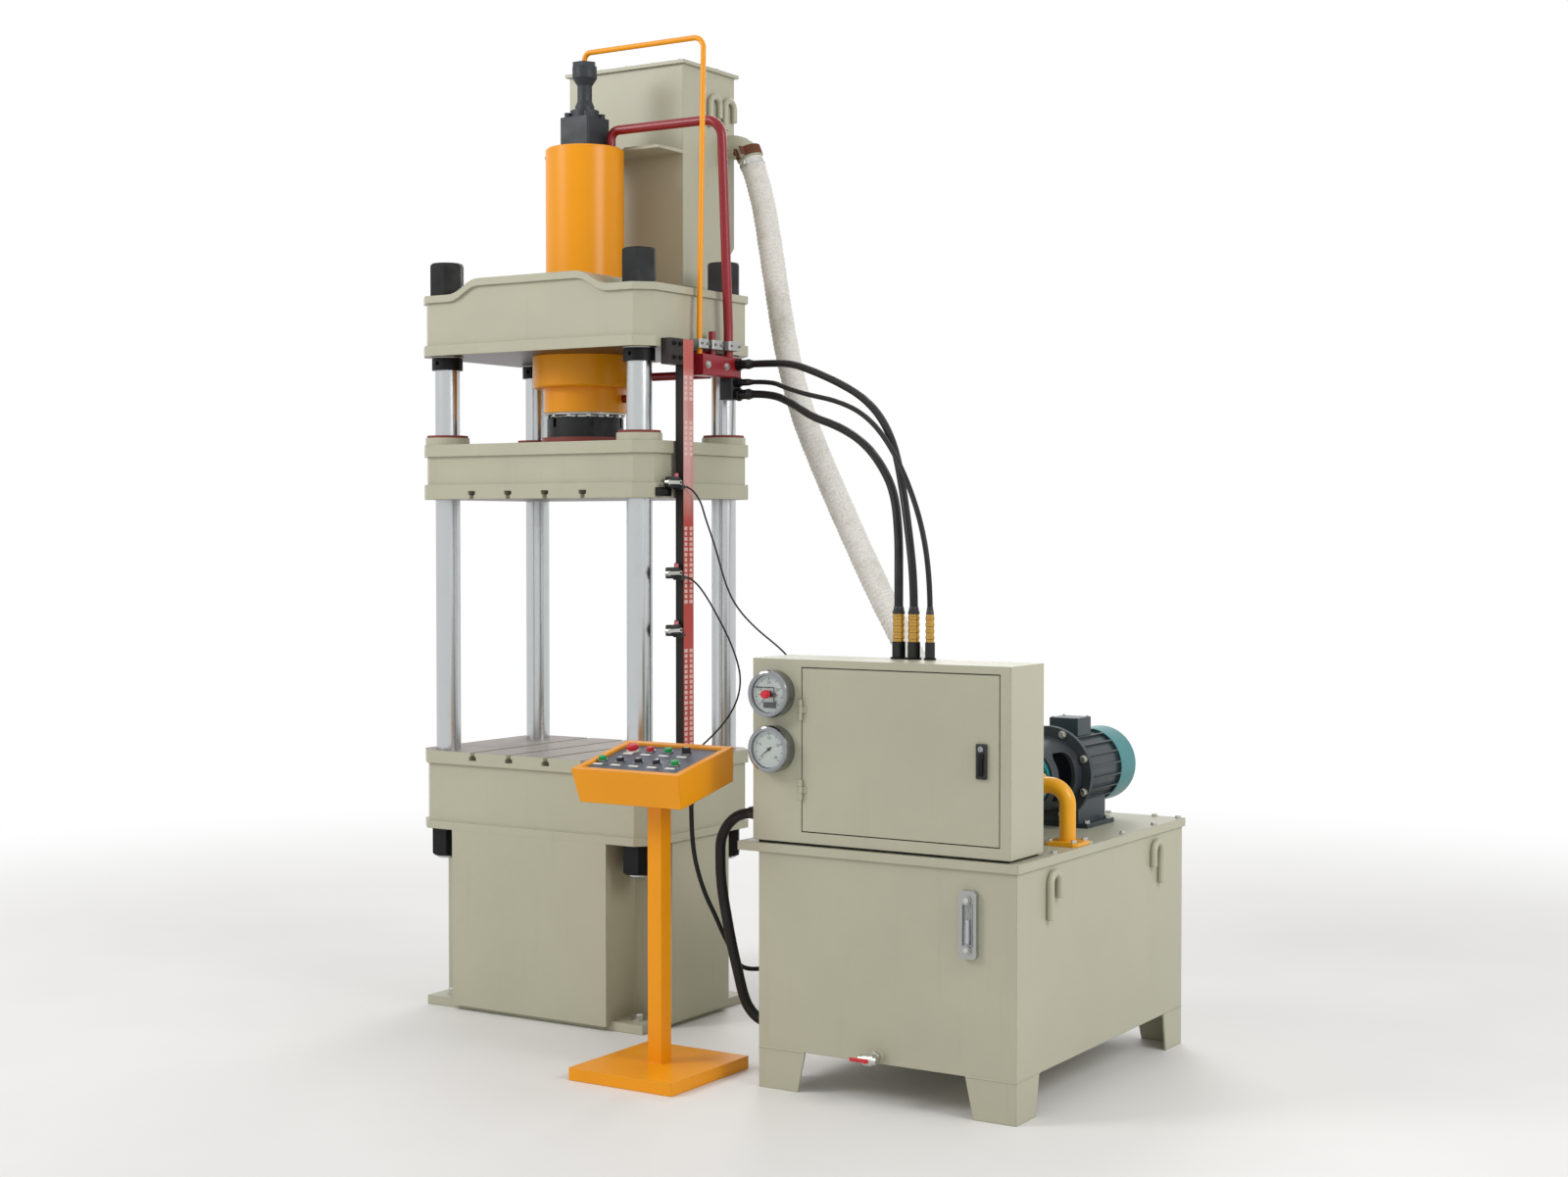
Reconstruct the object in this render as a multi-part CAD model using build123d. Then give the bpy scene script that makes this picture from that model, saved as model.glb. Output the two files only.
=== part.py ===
from build123d import *
import math
import os

# Four-column hydraulic press with its oil power unit and its control pedestal, in millimetres.
# X runs along the machine's front, Y to the back, Z up. The origin is the centre of the press base
# on the floor.

# Fits and clearances
static_gap = 0.1
running_gap = 0.05
door_gap = 3.0

# Outline shared by the base block, the slider and the upper beam
beam_width = 980.0
beam_depth = 650.0
corner_cut = 54.0
plate_lip = 10.0

# Columns and their nuts
column_diameter = 84.0
column_pitch_x = 812.0
column_pitch_y = 492.0
nut_across_flats = 104.0
top_nut_height = 115.0
base_nut_height = 98.0
nut_chamfer = 9.0
thread_run_out = 8.0
collar_diameter = 105.0
collar_height = 45.0
bar_hole_diameter = 14.0
bar_hole_depth = 8.0

# Base
table_height = 880.0
table_block_height = 268.0
table_plate = 44.0
table_under_plate = 27.0
pillar_half_width = 326.0
cheek_half_depth = 167.0
cheek_inset = 12.0
sole_inset = 20.0
base_floor_gap = 14.0
foot_plate_height = 30.0
foot_plate_edge = 22.0
anchor_hole_diameter = 26.0

# T-slots in the table and in the slider
slot_pitch = 156.0
slot_count = 4
slot_neck_width = 18.0
slot_neck_depth = 14.0
slot_head_width = 30.0
slot_head_height = 13.0

# Slider
slider_underside = 1737.0
slider_height = 186.0
slider_top_plate = 41.0
slider_under_plate = 50.0
bush_boss_diameter = 150.0
bush_boss_height = 25.0
bush_sleeve_diameter = 104.0
bush_flange_diameter = 140.0
bush_flange_height = 8.0
stroke = 600.0

# Upper beam
crown_underside = 2225.0
crown_end_height = 205.0
crown_top_plate = 25.0
crown_under_plate = 36.0
plateau_rise = 48.0
plateau_half_width = 200.0
slope_outer = 340.0

# Main cylinder
barrel_diameter = 268.0
barrel_foot_diameter = 284.0
barrel_top = 2934.0
barrel_underside = 2032.0
bore_diameter = 200.0
head_thickness = 70.0
head_port_diameter = 60.0
barrel_edge = 6.0
lock_ring_diameter = 360.0
lock_ring_height = 108.0
gland_outer_diameter = 240.0
gland_height = 60.0
piston_height = 110.0
piston_top_gap = 10.0
rod_diameter = 180.0
rod_flange_diameter = 298.0
rod_flange_height = 25.0
rod_nut_diameter = 262.0
rod_nut_height = 68.0
rod_nut_slots = 6
rod_nut_slot = 16.0

# Prefill valve on the cylinder head
valve_block_side = 123.0
valve_block_height = 105.0
valve_bolt_inset = 20.0
valve_bolt_diameter = 22.0
valve_bolt_height = 17.0
valve_collar_diameter = 98.0
valve_collar_height = 26.0
actuator_neck_diameter = 50.0
actuator_body_diameter = 84.0
actuator_foot_height = 14.0
actuator_foot_slope = 20.0
actuator_neck_height = 51.0
actuator_shoulder = 26.0
actuator_body_height = 39.0
actuator_cap_height = 14.0
actuator_foot_diameter = 66.0

# Upper oil tank behind the cylinder
upper_tank_half_width = 245.0
upper_tank_front = 235.0
upper_tank_depth = 320.0
upper_tank_height = 777.0
upper_tank_wall = 5.0
upper_tank_lid = 12.0
upper_tank_lip = 12.0
tank_taper_height = 162.0
tank_taper_depth = 150.0
tie_plate_height = 12.0
tie_plate_rise_height = 12.0
tie_plate_gap = 1.0
lift_bar_diameter = 22.0
lift_bar_leg = 100.0
lift_bar_radius = 29.0
lift_bar_tail = 44.0
upper_hook_distance = 205.0
upper_hook_leg = 78.0
upper_hook_spots = (391.0, 483.0)

# Overflow line from the upper tank to the reservoir
overflow_diameter = 86.0
elbow_wall = 4.0
elbow_distance = 265.0
elbow_depth = 505.0
elbow_stub = 30.0
elbow_radius = 80.0
elbow_turn = 68.0
elbow_flange_diameter = 106.0
elbow_flange_height = 8.0
overflow_spigot_height = 5.0
clamp_band = 3.0
clamp_band_width = 34.0
clamp_lug = 18.0

# Pipes to the cylinder
pressure_pipe_diameter = 32.0
pressure_port_x = 84.0
pressure_port_y = 37.0
pressure_pipe_level = 2996.0
pressure_pipe_fall = 2310.0
pressure_pipe_x = 528.0
pressure_pipe_y = 92.0
pressure_pipe_reach_y = 45.0
pressure_pipe_bend = 60.0
port_bend = 32.0
pipe_lean_bend = 220.0
pilot_pipe_diameter = 18.0
pilot_pipe_rise = 33.0
pilot_pipe_x = 515.0
pilot_pipe_y = -60.0
pilot_corner_x = 492.0
pilot_bend = 40.0
pilot_rise_bend = 24.0
return_stub_x = 515.0
return_stub_y = 15.0
return_stub_diameter = 24.0
return_stub_top = 2290.0
lower_pipe_diameter = 28.0
lower_pipe_level = 2150.0
lower_port_level = 2080.0
lower_pipe_y = 30.0
lower_pipe_bend = 40.0

# Pipe clamps and manifold on the beam's right side
pipe_clamp_level = 2230.0
pipe_clamp_height = 30.0
pipe_clamp_cheek = 13.0
pipe_clamp_half = 27.0
manifold_top = 2210.0
manifold_height = 70.0
manifold_inner = 492.0
manifold_width = 56.0
manifold_front = -86.0
manifold_back = 138.0
hanger_reach = 46.0
hanger_depth = 50.0
outlet_block_front = 84.0
outlet_block_height = 72.0
outlet_block_inset = 4.0
outlet_block_edge = 4.0
outlet_length = 40.0
outlet_y = 118.0
left_outlet_distance = 124.0
middle_outlet_distance = 24.0
right_outlet_distance = 84.0

# Limit switch rail on the right side
rail_inner = 499.0
rail_flange = 31.0
rail_front = -174.0
rail_web = 57.0
rail_sheet = 5.0
rail_top = 2252.0
rail_foot = 760.0
rail_bracket_height = 84.0
rail_bracket_reach = 69.0
foot_bracket_rise_height = 82.0
foot_bracket_height = 34.0
top_switch_level = 1787.0
middle_switch_level = 1494.0
low_switch_level = 1308.0
switch_length = 58.0
switch_width = 24.0
switch_height = 36.0
switch_edge = 3.0
switch_cap_inset = 14.0
switch_pivot_end = 2.0
switch_cap_diameter = 14.0
switch_cap_height = 14.0
switch_gland_distance = 14.0
switch_gland_diameter = 13.0
switch_gland_y = -188.0
switch_gland_length = 18.0
switch_bridge_distance = 16.5
switch_bridge_height = 6.0
switch_bridge_root = 12.0
switch_bridge_setback = 4.0
wire_x = 541.0
lever_pivot_y = -186.0
lever_pivot_diameter = 8.0
lever_height = 11.0
lever_thickness = 5.0
lever_length = 66.0
roller_diameter = 16.0
roller_width = 11.0
lever_side_gap = 1.0
lever_angle = 25.0
striker_back = -190.0
striker_front = -275.0
striker_ramp_back = -238.0
striker_low = 1743.0
striker_height = 28.0
striker_foot = 4.0
striker_reach = 21.0
striker_bevel = 7.0
junction_side = 24.0
junction_height = 48.0
junction_y = -145.0
junction_rise_height = 88.0

# Reservoir
reservoir_left = 1131.0
reservoir_front = -654.0
reservoir_width = 838.0
reservoir_depth = 1180.0
reservoir_underside = 118.0
reservoir_wall = 5.0
lid_underside = 693.0
lid_thickness = 26.0
lid_plate = 8.0
lid_left_overhang = 70.0
lid_overhang = 8.0
lid_gap = 1.0
leg_top_x = 158.0
leg_foot_x = 133.0
leg_top_y = 144.0
leg_foot_y = 123.0
leg_sheet = 6.0
drain_x = 1533.0
drain_level = 139.0
drain_diameter = 40.0
drain_reach = 14.0
unit_hook_level = 540.0
unit_hook_y = -462.0

# Level gauge
level_gauge_x = 1825.0
level_gauge_width = 54.0
level_gauge_height = 190.0
level_gauge_base = 448.0
level_gauge_depth = 16.0
level_window_width = 26.0
level_window_height = 108.0
level_window_depth = 6.0
level_bolt_diameter = 24.0
level_bolt_height = 6.0
level_bolt_inset = 26.0

# Control cabinet on the reservoir
cabinet_left = 1111.0
cabinet_width = 839.0
cabinet_depth = 205.0
plinth_height = 8.0
cabinet_height = 532.0
cabinet_wall = 3.0
plinth_inset = 14.0
door_left = 1280.0
door_width = 634.0
door_sill = 35.0
door_height = 472.0
door_sheet = 3.0
door_return = 16.0
knuckle_diameter = 10.0
knuckle_height = 60.0
knuckle_inset = 90.0
hinge_pin_diameter = 5.0
hinge_leaf = 2.0
hinge_leaf_width = 16.0
lock_width = 32.0
lock_height = 96.0
lock_depth = 8.0
lock_inset = 52.0
lock_rise = 234.0

# Valve block inside the cabinet
manifold_block_left = 1440.0
manifold_block_width = 240.0
manifold_block_depth = 110.0
manifold_block_height = 210.0
solenoid_count = 3
solenoid_width = 46.0
solenoid_height = 50.0
solenoid_length = 150.0

# Gauges
gauge_x = 1186.0
upper_gauge_distance = 101.0
lower_gauge_distance = 262.0
gauge_diameter = 138.0
gauge_depth = 42.0
gauge_rim = 7.0
gauge_dial_recess = 12.0
gauge_wall = 3.0

# Hose fittings
hose_fitting_y = -478.0
left_fitting_x = 1500.0
middle_fitting_x = 1550.0
right_fitting_x = 1603.0
left_hose_diameter = 26.0
middle_hose_diameter = 24.0
right_hose_diameter = 16.0
fitting_height = 51.0
ferrule_height = 80.0
fitting_extra = 12.0
ferrule_extra = 7.0

# Pump set on the reservoir
pump_axis_x = 1720.0
pump_axis_height = 170.0
bell_flange_y = 60.0
bell_flange_diameter = 290.0
bell_flange_thickness = 18.0
bell_length = 165.0
bell_wall = 12.0
bell_pump_diameter = 190.0
bell_waist_diameter = 230.0
bell_window_angle = 80.0
pump_diameter = 150.0
pump_length = 210.0
pump_flange_diameter = 176.0
pump_flange_thickness = 16.0
pump_port_diameter = 70.0
pump_port_reach = 95.0
motor_diameter = 236.0
motor_length = 290.0
motor_shield = 16.0
motor_bore = 160.0
motor_fin_count = 20
motor_fin_height = 9.0
motor_fin_thickness = 5.0
motor_foot_width = 210.0
motor_foot_length = 200.0
motor_foot_sheet = 14.0
terminal_box_side = 96.0
terminal_box_height = 44.0
shaft_diameter = 38.0
rotor_diameter = 150.0
coupling_diameter = 90.0
coupling_length = 70.0
fan_diameter = 196.0
fan_hub_diameter = 60.0
fan_blades = 8
fan_blade_thickness = 4.0
fan_depth = 34.0
fan_cover_length = 120.0
fan_cover_sheet = 2.5
fan_cover_slots = 16
fan_slot_width = 9.0
fan_slot_inner = 34.0
fan_slot_outer = 92.0
suction_diameter = 48.0
suction_reach = 48.0
suction_radius = 55.0
suction_flange = 104.0
suction_flange_height = 12.0

# Pedestal
pedestal_x = 800.0
pedestal_y = -692.0
foot_width = 372.0
foot_depth = 406.0
foot_thickness = 38.0
post_side = 50.0
post_wall = 4.0
box_y = -715.0
box_level = 954.0
box_tilt = 12.0
box_width = 389.0
box_length = 296.0
box_height = 106.0
box_taper = 5.5
box_sheet = 3.0
box_rim = 23.0
panel_recess = 10.0
panel_thickness = 3.0
panel_ledge = 3.0
button_rows = ((-42.0, (-154.0, -88.0, -22.0, 44.0, 110.0)), (68.0, (-121.0, -55.0, 11.0, 77.0)))
button_barrel = 22.0
button_barrel_length = 20.0
button_cap_diameter = 28.0
button_cap_height = 9.0
button_travel = 4.0
button_lift = 5.0
button_seat = 30.0
button_seat_height = 3.0
cable_gland_x = 868.0
cable_gland_y = -622.0
cable_gland_diameter = 26.0
cable_gland_length = 24.0
cable_straight_length = 80.0

# Cord diameters
cable_diameter = 14.0
loop_hose_diameter = 32.0
wire_diameter = 6.0
loop_exit_y = -560.0
loop_exit_rise = 63.0
loop_port_y = -500.0
loop_port_level = 148.0
loop_fitting_length = 34.0
loop_port_length = 18.0
cable_entry_y = -470.0
cable_entry_rise = 125.0
wire_entry_y = -486.0
wire_entry_rise = 377.0
entry_length = 16.0

# Lengths worked out from the sizes above
half_width = beam_width / 2
half_depth = beam_depth / 2
column_x = column_pitch_x / 2
column_y = column_pitch_y / 2
column_spots = [(sx * column_x, sy * column_y) for sx in (-1, 1) for sy in (-1, 1)]
block_underside = table_height - table_block_height
slider_top = slider_underside + slider_height
crown_end_top = crown_underside + crown_end_height
plateau_top = crown_end_top + plateau_rise
column_hole = column_diameter + 2 * static_gap
slot_depth = slot_neck_depth + slot_head_height
lid_top = lid_underside + lid_thickness
reservoir_right = reservoir_left + reservoir_width
reservoir_rear = reservoir_front + reservoir_depth
pump_axis_z = lid_top + pump_axis_height
motor_front = bell_flange_y + bell_flange_thickness
motor_rear = motor_front + motor_length
rail_outer = rail_inner + rail_flange
cabinet_front = reservoir_front
cabinet_base = lid_top + plinth_height
cabinet_top = cabinet_base + cabinet_height
door_base = cabinet_base + door_sill
lock_level = door_base + lock_rise
gauge_levels = (cabinet_top - upper_gauge_distance, cabinet_top - lower_gauge_distance)
loop_exit_level = cabinet_base + loop_exit_rise
cable_entry_level = cabinet_base + cable_entry_rise
wire_entry_level = cabinet_base + wire_entry_rise
actuator_base = barrel_top + valve_block_height + valve_collar_height
actuator_neck_base = actuator_base + actuator_foot_height + actuator_foot_slope
actuator_neck_top = actuator_neck_base + actuator_neck_height
actuator_cap_base = actuator_neck_top + actuator_shoulder + actuator_body_height
actuator_top = actuator_cap_base + actuator_cap_height
pilot_pipe_level = actuator_top + pilot_pipe_rise
upper_tank_top = plateau_top + upper_tank_height
tank_taper_start = plateau_top + tank_taper_height
tie_plate_level = barrel_top + tie_plate_rise_height
upper_hook_level = upper_tank_top - upper_hook_distance
elbow_level = upper_tank_top - elbow_distance
foot_bracket_low = rail_foot + foot_bracket_rise_height
foot_bracket_high = foot_bracket_low + foot_bracket_height
junction_top = rail_foot + junction_rise_height
outlet_levels = (manifold_top - left_outlet_distance, manifold_top - middle_outlet_distance,
                 manifold_top - right_outlet_distance)
hose_fitting_xs = (left_fitting_x, middle_fitting_x, right_fitting_x)
hose_diameters = (left_hose_diameter, middle_hose_diameter, right_hose_diameter)


def block(x0, x1, y0, y1, z0, z1):
    """A plain block between two corners."""
    return Pos((x0 + x1) / 2, (y0 + y1) / 2, (z0 + z1) / 2) * Box(x1 - x0, y1 - y0, z1 - z0)


def drum(x, y, z0, z1, diameter):
    """An upright round bar."""
    return Pos(x, y, (z0 + z1) / 2) * Cylinder(diameter / 2, z1 - z0)


def drum_y(x, z, y0, y1, diameter):
    """A round bar along Y."""
    return Pos(x, (y0 + y1) / 2, z) * Rot(90, 0, 0) * Cylinder(diameter / 2, y1 - y0)


def drum_x(y, z, x0, x1, diameter):
    """A round bar along X."""
    return Pos((x0 + x1) / 2, y, z) * Rot(0, 90, 0) * Cylinder(diameter / 2, x1 - x0)


def ring(x, y, z0, z1, outer, inner):
    """An upright ring."""
    return drum(x, y, z0, z1, outer) - drum(x, y, z0 - 1, z1 + 1, inner)


def outline_face(inset=0.0):
    """The cut-corner outline of the beams, drawn in by a plate lip where asked."""
    w = half_width - inset
    d = half_depth - inset
    c = corner_cut - inset * (2 - math.sqrt(2))
    points = [(-w, -d + c), (-w + c, -d), (w - c, -d), (w, -d + c)]
    points += [(w, d - c), (w - c, d), (-w + c, d), (-w, d - c)]
    return make_face(Polyline(points, close=True))


def outline_plate(z0, z1, inset=0.0):
    """A plate with the beams' outline."""
    return Pos(0, 0, z0) * extrude(outline_face(inset), z1 - z0)


def column_bores(z0, z1, diameter):
    """Four upright bars at the columns, for cutting their holes."""
    bars = [drum(x, y, z0, z1, diameter) for x, y in column_spots]
    return bars[0] + bars[1] + bars[2] + bars[3]


def slot_bars(face_level, into):
    """T-slot cutters along Y. into is -1 below a face and 1 above it."""
    bars = None
    for i in range(slot_count):
        x = (i - (slot_count - 1) / 2) * slot_pitch
        neck_end = face_level + into * slot_neck_depth
        head_end = face_level + into * slot_depth
        neck = block(x - slot_neck_width / 2, x + slot_neck_width / 2, -half_depth - 1, half_depth + 1,
                     min(face_level - into, neck_end), max(face_level - into, neck_end))
        head = block(x - slot_head_width / 2, x + slot_head_width / 2, -half_depth - 1, half_depth + 1,
                     min(neck_end, head_end), max(neck_end, head_end))
        bars = neck + head if bars is None else bars + neck + head
    return bars


def hex_nut(x, y, z0, height, domed_up):
    """A hexagon nut on a column, with a chamfered free end and a bar hole."""
    body = extrude(RegularPolygon(nut_across_flats / 2, 6, major_radius=False), height)
    corner = nut_across_flats / math.sqrt(3)
    cone = Cone(corner, corner - nut_chamfer, nut_chamfer, align=(Align.CENTER, Align.CENTER, Align.MIN))
    round_bar = Cylinder(corner, height - nut_chamfer, align=(Align.CENTER, Align.CENTER, Align.MIN))
    body = body & (round_bar + Pos(0, 0, height - nut_chamfer) * cone)
    body = body - Cylinder(column_hole / 2, 3 * height)
    if not domed_up:
        body = Pos(0, 0, height) * Rot(180, 0, 0) * body
    return Pos(x, y, z0) * body


def tube_along(path_edges, diameter, start, direction, bore=0.0):
    """A round bar or pipe swept along a path."""
    section_plane = Plane(origin=start, z_dir=direction)
    profile = section_plane * Circle(diameter / 2)
    if bore:
        profile = section_plane * (Circle(diameter / 2) - Circle(bore / 2))
    return sweep(profile, path=path_edges)


def cord(name, points, diameter):
    """A free cord as straight runs joined by tangent arcs, and its smallest arc."""
    vectors = [Vector(*p) for p in points]
    radii = []
    for a, b, c in zip(vectors, vectors[1:], vectors[2:]):
        turn = math.radians((b - a).get_angle(c - b))
        radii.append(0.45 * min((b - a).length, (c - b).length) / math.tan(turn / 2))
    path = FilletPolyline(*points, radius=radii)
    body = tube_along(path, diameter, points[0], (vectors[1] - vectors[0]).normalized())
    share = body.volume / (math.pi * diameter ** 2 / 4 * path.length)
    print(name, "length", round(path.length), "radii", [round(r) for r in radii], "volume share", round(share, 4))
    return body


def crown_profile(drop):
    """The upper beam's front view, its top edge lowered by drop."""
    end_top = crown_end_top - drop
    mid_top = plateau_top - drop
    left = Spline((-slope_outer, end_top), (-plateau_half_width, mid_top), tangents=[(1, 0), (1, 0)])
    right = Spline((plateau_half_width, mid_top), (slope_outer, end_top), tangents=[(1, 0), (1, 0)])
    reach = half_width + 20
    edges = [
        Line((-reach, crown_underside), (-reach, end_top)),
        Line((-reach, end_top), (-slope_outer, end_top)),
        left,
        Line((-plateau_half_width, mid_top), (plateau_half_width, mid_top)),
        right,
        Line((slope_outer, end_top), (reach, end_top)),
        Line((reach, end_top), (reach, crown_underside)),
        Line((reach, crown_underside), (-reach, crown_underside)),
    ]
    face = make_face(edges)
    return extrude(Plane.XZ * face, half_depth + 20, both=True)


def lift_bar(x, y, z, hand, leg=lift_bar_leg):
    """A round bar bent into a lifting hook, welded by its long leg to a wall that faces +X."""
    r = lift_bar_radius
    top = z + leg
    path = Line((x, y, z), (x, y, top))
    path = path + ThreePointArc((x, y, top), (x, y + hand * r, top + r), (x, y + hand * 2 * r, top))
    path = path + Line((x, y + hand * 2 * r, top), (x, y + hand * 2 * r, top - lift_bar_tail))
    return tube_along(path, lift_bar_diameter, (x, y, z), (0, 0, 1))


def build_base_frame():
    full = 2 * static_gap
    top = outline_plate(table_height - table_plate, table_height)
    web = outline_plate(block_underside + table_under_plate, table_height - table_plate, plate_lip)
    under = outline_plate(block_underside, block_underside + table_under_plate)
    cheek_x = half_width - cheek_inset
    pillar_y = half_depth - full
    lower = block(-pillar_half_width, pillar_half_width, -pillar_y, pillar_y, base_floor_gap, block_underside)
    lower = lower + block(-cheek_x, cheek_x, -cheek_half_depth, cheek_half_depth, base_floor_gap,
                          block_underside)
    t = sole_inset
    sole = block(-pillar_half_width + t, pillar_half_width - t, -pillar_y + t, pillar_y - t, 0, base_floor_gap)
    sole = sole + block(-cheek_x + t, cheek_x - t, -cheek_half_depth + t, cheek_half_depth - t, 0, base_floor_gap)
    body = top + web + under + lower + sole
    for sx in (-1, 1):
        for sy in (-1, 1):
            xs = sorted((sx * (pillar_half_width - t), sx * (cheek_x - foot_plate_edge)))
            ys = sorted((sy * (cheek_half_depth - t), sy * (half_depth - foot_plate_edge)))
            body = body + block(xs[0], xs[1], ys[0], ys[1], 0, foot_plate_height)
            hole_x = sx * (pillar_half_width + cheek_x - foot_plate_edge) / 2
            hole_y = sy * (cheek_half_depth + half_depth - foot_plate_edge) / 2
            body = body - drum(hole_x, hole_y, -1, foot_plate_height + 1, anchor_hole_diameter)
    body = body - column_bores(block_underside - 1, table_height + 1, column_hole)
    return body - slot_bars(table_height, -1)


def build_columns():
    bottom = block_underside - base_nut_height - thread_run_out
    top = crown_end_top + top_nut_height - thread_run_out
    bars = []
    for x, y in column_spots:
        bar = drum(x, y, bottom, top, column_diameter)
        bars.append(chamfer(bar.edges().filter_by(GeomType.CIRCLE), 3))
    return Compound(children=bars)


def build_column_nuts():
    nuts = [hex_nut(x, y, crown_end_top, top_nut_height, True) for x, y in column_spots]
    nuts += [hex_nut(x, y, block_underside - base_nut_height, base_nut_height, False) for x, y in column_spots]
    return Compound(children=nuts)


def build_beam_collars():
    collars = []
    for x, y in column_spots:
        z0 = crown_underside - collar_height
        body = ring(x, y, z0, crown_underside, collar_diameter, column_hole)
        outer = collar_diameter / 2
        body = body - drum_y(x, z0 + collar_height / 2, y - outer - 1, y - outer + bar_hole_depth,
                             bar_hole_diameter)
        collars.append(body)
    return Compound(children=collars)


def build_upper_beam():
    under = outline_plate(crown_underside, crown_underside + crown_under_plate)
    tall = plateau_top + 10
    web = outline_plate(crown_underside, tall, plate_lip) & crown_profile(0)
    cap = outline_plate(crown_underside + crown_under_plate, tall) & (crown_profile(0) - crown_profile(crown_top_plate))
    body = under + web + cap
    body = body - column_bores(crown_underside - 1, tall, column_hole)
    return body - drum(0, 0, crown_underside - 1, tall, barrel_diameter + 2 * static_gap)


def build_cylinder_barrel():
    body = drum(0, 0, barrel_underside, crown_underside, barrel_foot_diameter)
    upper = drum(0, 0, crown_underside, barrel_top, barrel_diameter)
    upper = chamfer(upper.edges().group_by(Axis.Z)[-1], barrel_edge)
    body = body + upper
    bore_top = barrel_top - head_thickness
    body = body - drum(0, 0, barrel_underside + gland_height, bore_top, bore_diameter)
    body = body - drum(0, 0, barrel_underside - 1, barrel_underside + gland_height,
                       gland_outer_diameter + 2 * static_gap)
    body = body - drum(0, 0, bore_top - 1, barrel_top + 1, head_port_diameter)
    return body


def build_lock_ring():
    z0 = crown_underside - lock_ring_height
    body = ring(0, 0, z0, crown_underside, lock_ring_diameter, barrel_foot_diameter + 2 * static_gap)
    rim = body.edges().filter_by(GeomType.CIRCLE).group_by(Axis.Z)[0].sort_by(SortBy.RADIUS)[-1]
    return chamfer(rim, 5)


def build_gland():
    top = barrel_underside + gland_height
    return ring(0, 0, barrel_underside, top, gland_outer_diameter, rod_diameter + 2 * running_gap)


def build_piston_rod():
    piston_top = barrel_top - head_thickness - piston_top_gap
    piston_base = piston_top - piston_height
    rod = drum(0, 0, slider_top, piston_base, rod_diameter)
    return rod + drum(0, 0, piston_base, piston_top, bore_diameter - 2 * running_gap)


def build_rod_ring():
    flange_top = slider_top + rod_flange_height
    body = drum(0, 0, slider_top, flange_top, rod_flange_diameter)
    nut = drum(0, 0, flange_top, flange_top + rod_nut_height, rod_nut_diameter)
    nut = chamfer(nut.edges().group_by(Axis.Z)[-1], 4)
    body = body + nut
    for i in range(rod_nut_slots):
        spot = Rot(0, 0, i * 360 / rod_nut_slots + 15) * Pos(rod_nut_diameter / 2, 0, flange_top + rod_nut_height)
        body = body - spot * Box(rod_nut_slot, rod_nut_slot, rod_nut_height)
    return body - drum(0, 0, slider_top - 1, flange_top + rod_nut_height + 1, rod_diameter + 2 * static_gap)


def build_slider():
    under = outline_plate(slider_underside, slider_underside + slider_under_plate)
    web = outline_plate(slider_underside + slider_under_plate, slider_top - slider_top_plate, plate_lip)
    top = outline_plate(slider_top - slider_top_plate, slider_top)
    body = under + web + top
    bosses = column_bores(slider_top, slider_top + bush_boss_height, bush_boss_diameter)
    body = body + (bosses & outline_plate(slider_top, slider_top + bush_boss_height))
    body = body - column_bores(slider_underside - 1, slider_top + bush_boss_height + 1,
                               bush_sleeve_diameter + 2 * static_gap)
    return body - slot_bars(slider_underside, 1)


def build_guide_bushes():
    bushes = []
    seat = slider_top + bush_boss_height
    for x, y in column_spots:
        sleeve = drum(x, y, slider_underside, seat, bush_sleeve_diameter)
        flange = drum(x, y, seat, seat + bush_flange_height, bush_flange_diameter)
        bushes.append(sleeve + flange - drum(x, y, slider_underside - 1, seat + bush_flange_height + 1,
                                             column_diameter + 2 * running_gap))
    return Compound(children=bushes)


def build_striker():
    z0 = striker_low
    z1 = striker_low + striker_height
    x0 = half_width
    foot = block(x0, x0 + striker_foot, striker_front, striker_back, z0, z1)
    ramp = block(x0, x0 + striker_reach, striker_front, striker_ramp_back, z0, z1)
    outer = ramp.faces().sort_by(Axis.X)[-1].edges().filter_by(Axis.Y)
    return foot + chamfer(outer, striker_bevel)


def build_prefill_valve():
    s = valve_block_side / 2
    top = barrel_top + valve_block_height
    body = block(-s, s, -s, s, barrel_top, top)
    body = chamfer(body.edges().filter_by(Axis.Z), 6)
    body = body + drum(0, 0, top, top + valve_collar_height, valve_collar_diameter)
    for sx in (-1, 1):
        for sy in (-1, 1):
            b = s - valve_bolt_inset
            body = body + drum(sx * b, sy * b, top, top + valve_bolt_height, valve_bolt_diameter)
    return body - drum(0, 0, barrel_top - 1, top, head_port_diameter)


def build_prefill_actuator():
    base, cap_base = actuator_base, actuator_cap_base
    r_foot = actuator_foot_diameter / 2
    r_neck = actuator_neck_diameter / 2
    r_body = actuator_body_diameter / 2
    profile = make_face(Polyline(
        (0, base), (r_foot, base), (r_foot, base + actuator_foot_height), (r_neck, actuator_neck_base),
        (r_neck, actuator_neck_top),
        (r_body, actuator_neck_top + actuator_shoulder), (r_body, cap_base), (0, cap_base), close=True))
    body = revolve(Plane.XZ * profile, Axis.Z)
    cap = extrude(RegularPolygon(r_body + 2, 6), actuator_cap_height)
    return body + Pos(0, 0, cap_base) * cap


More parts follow.
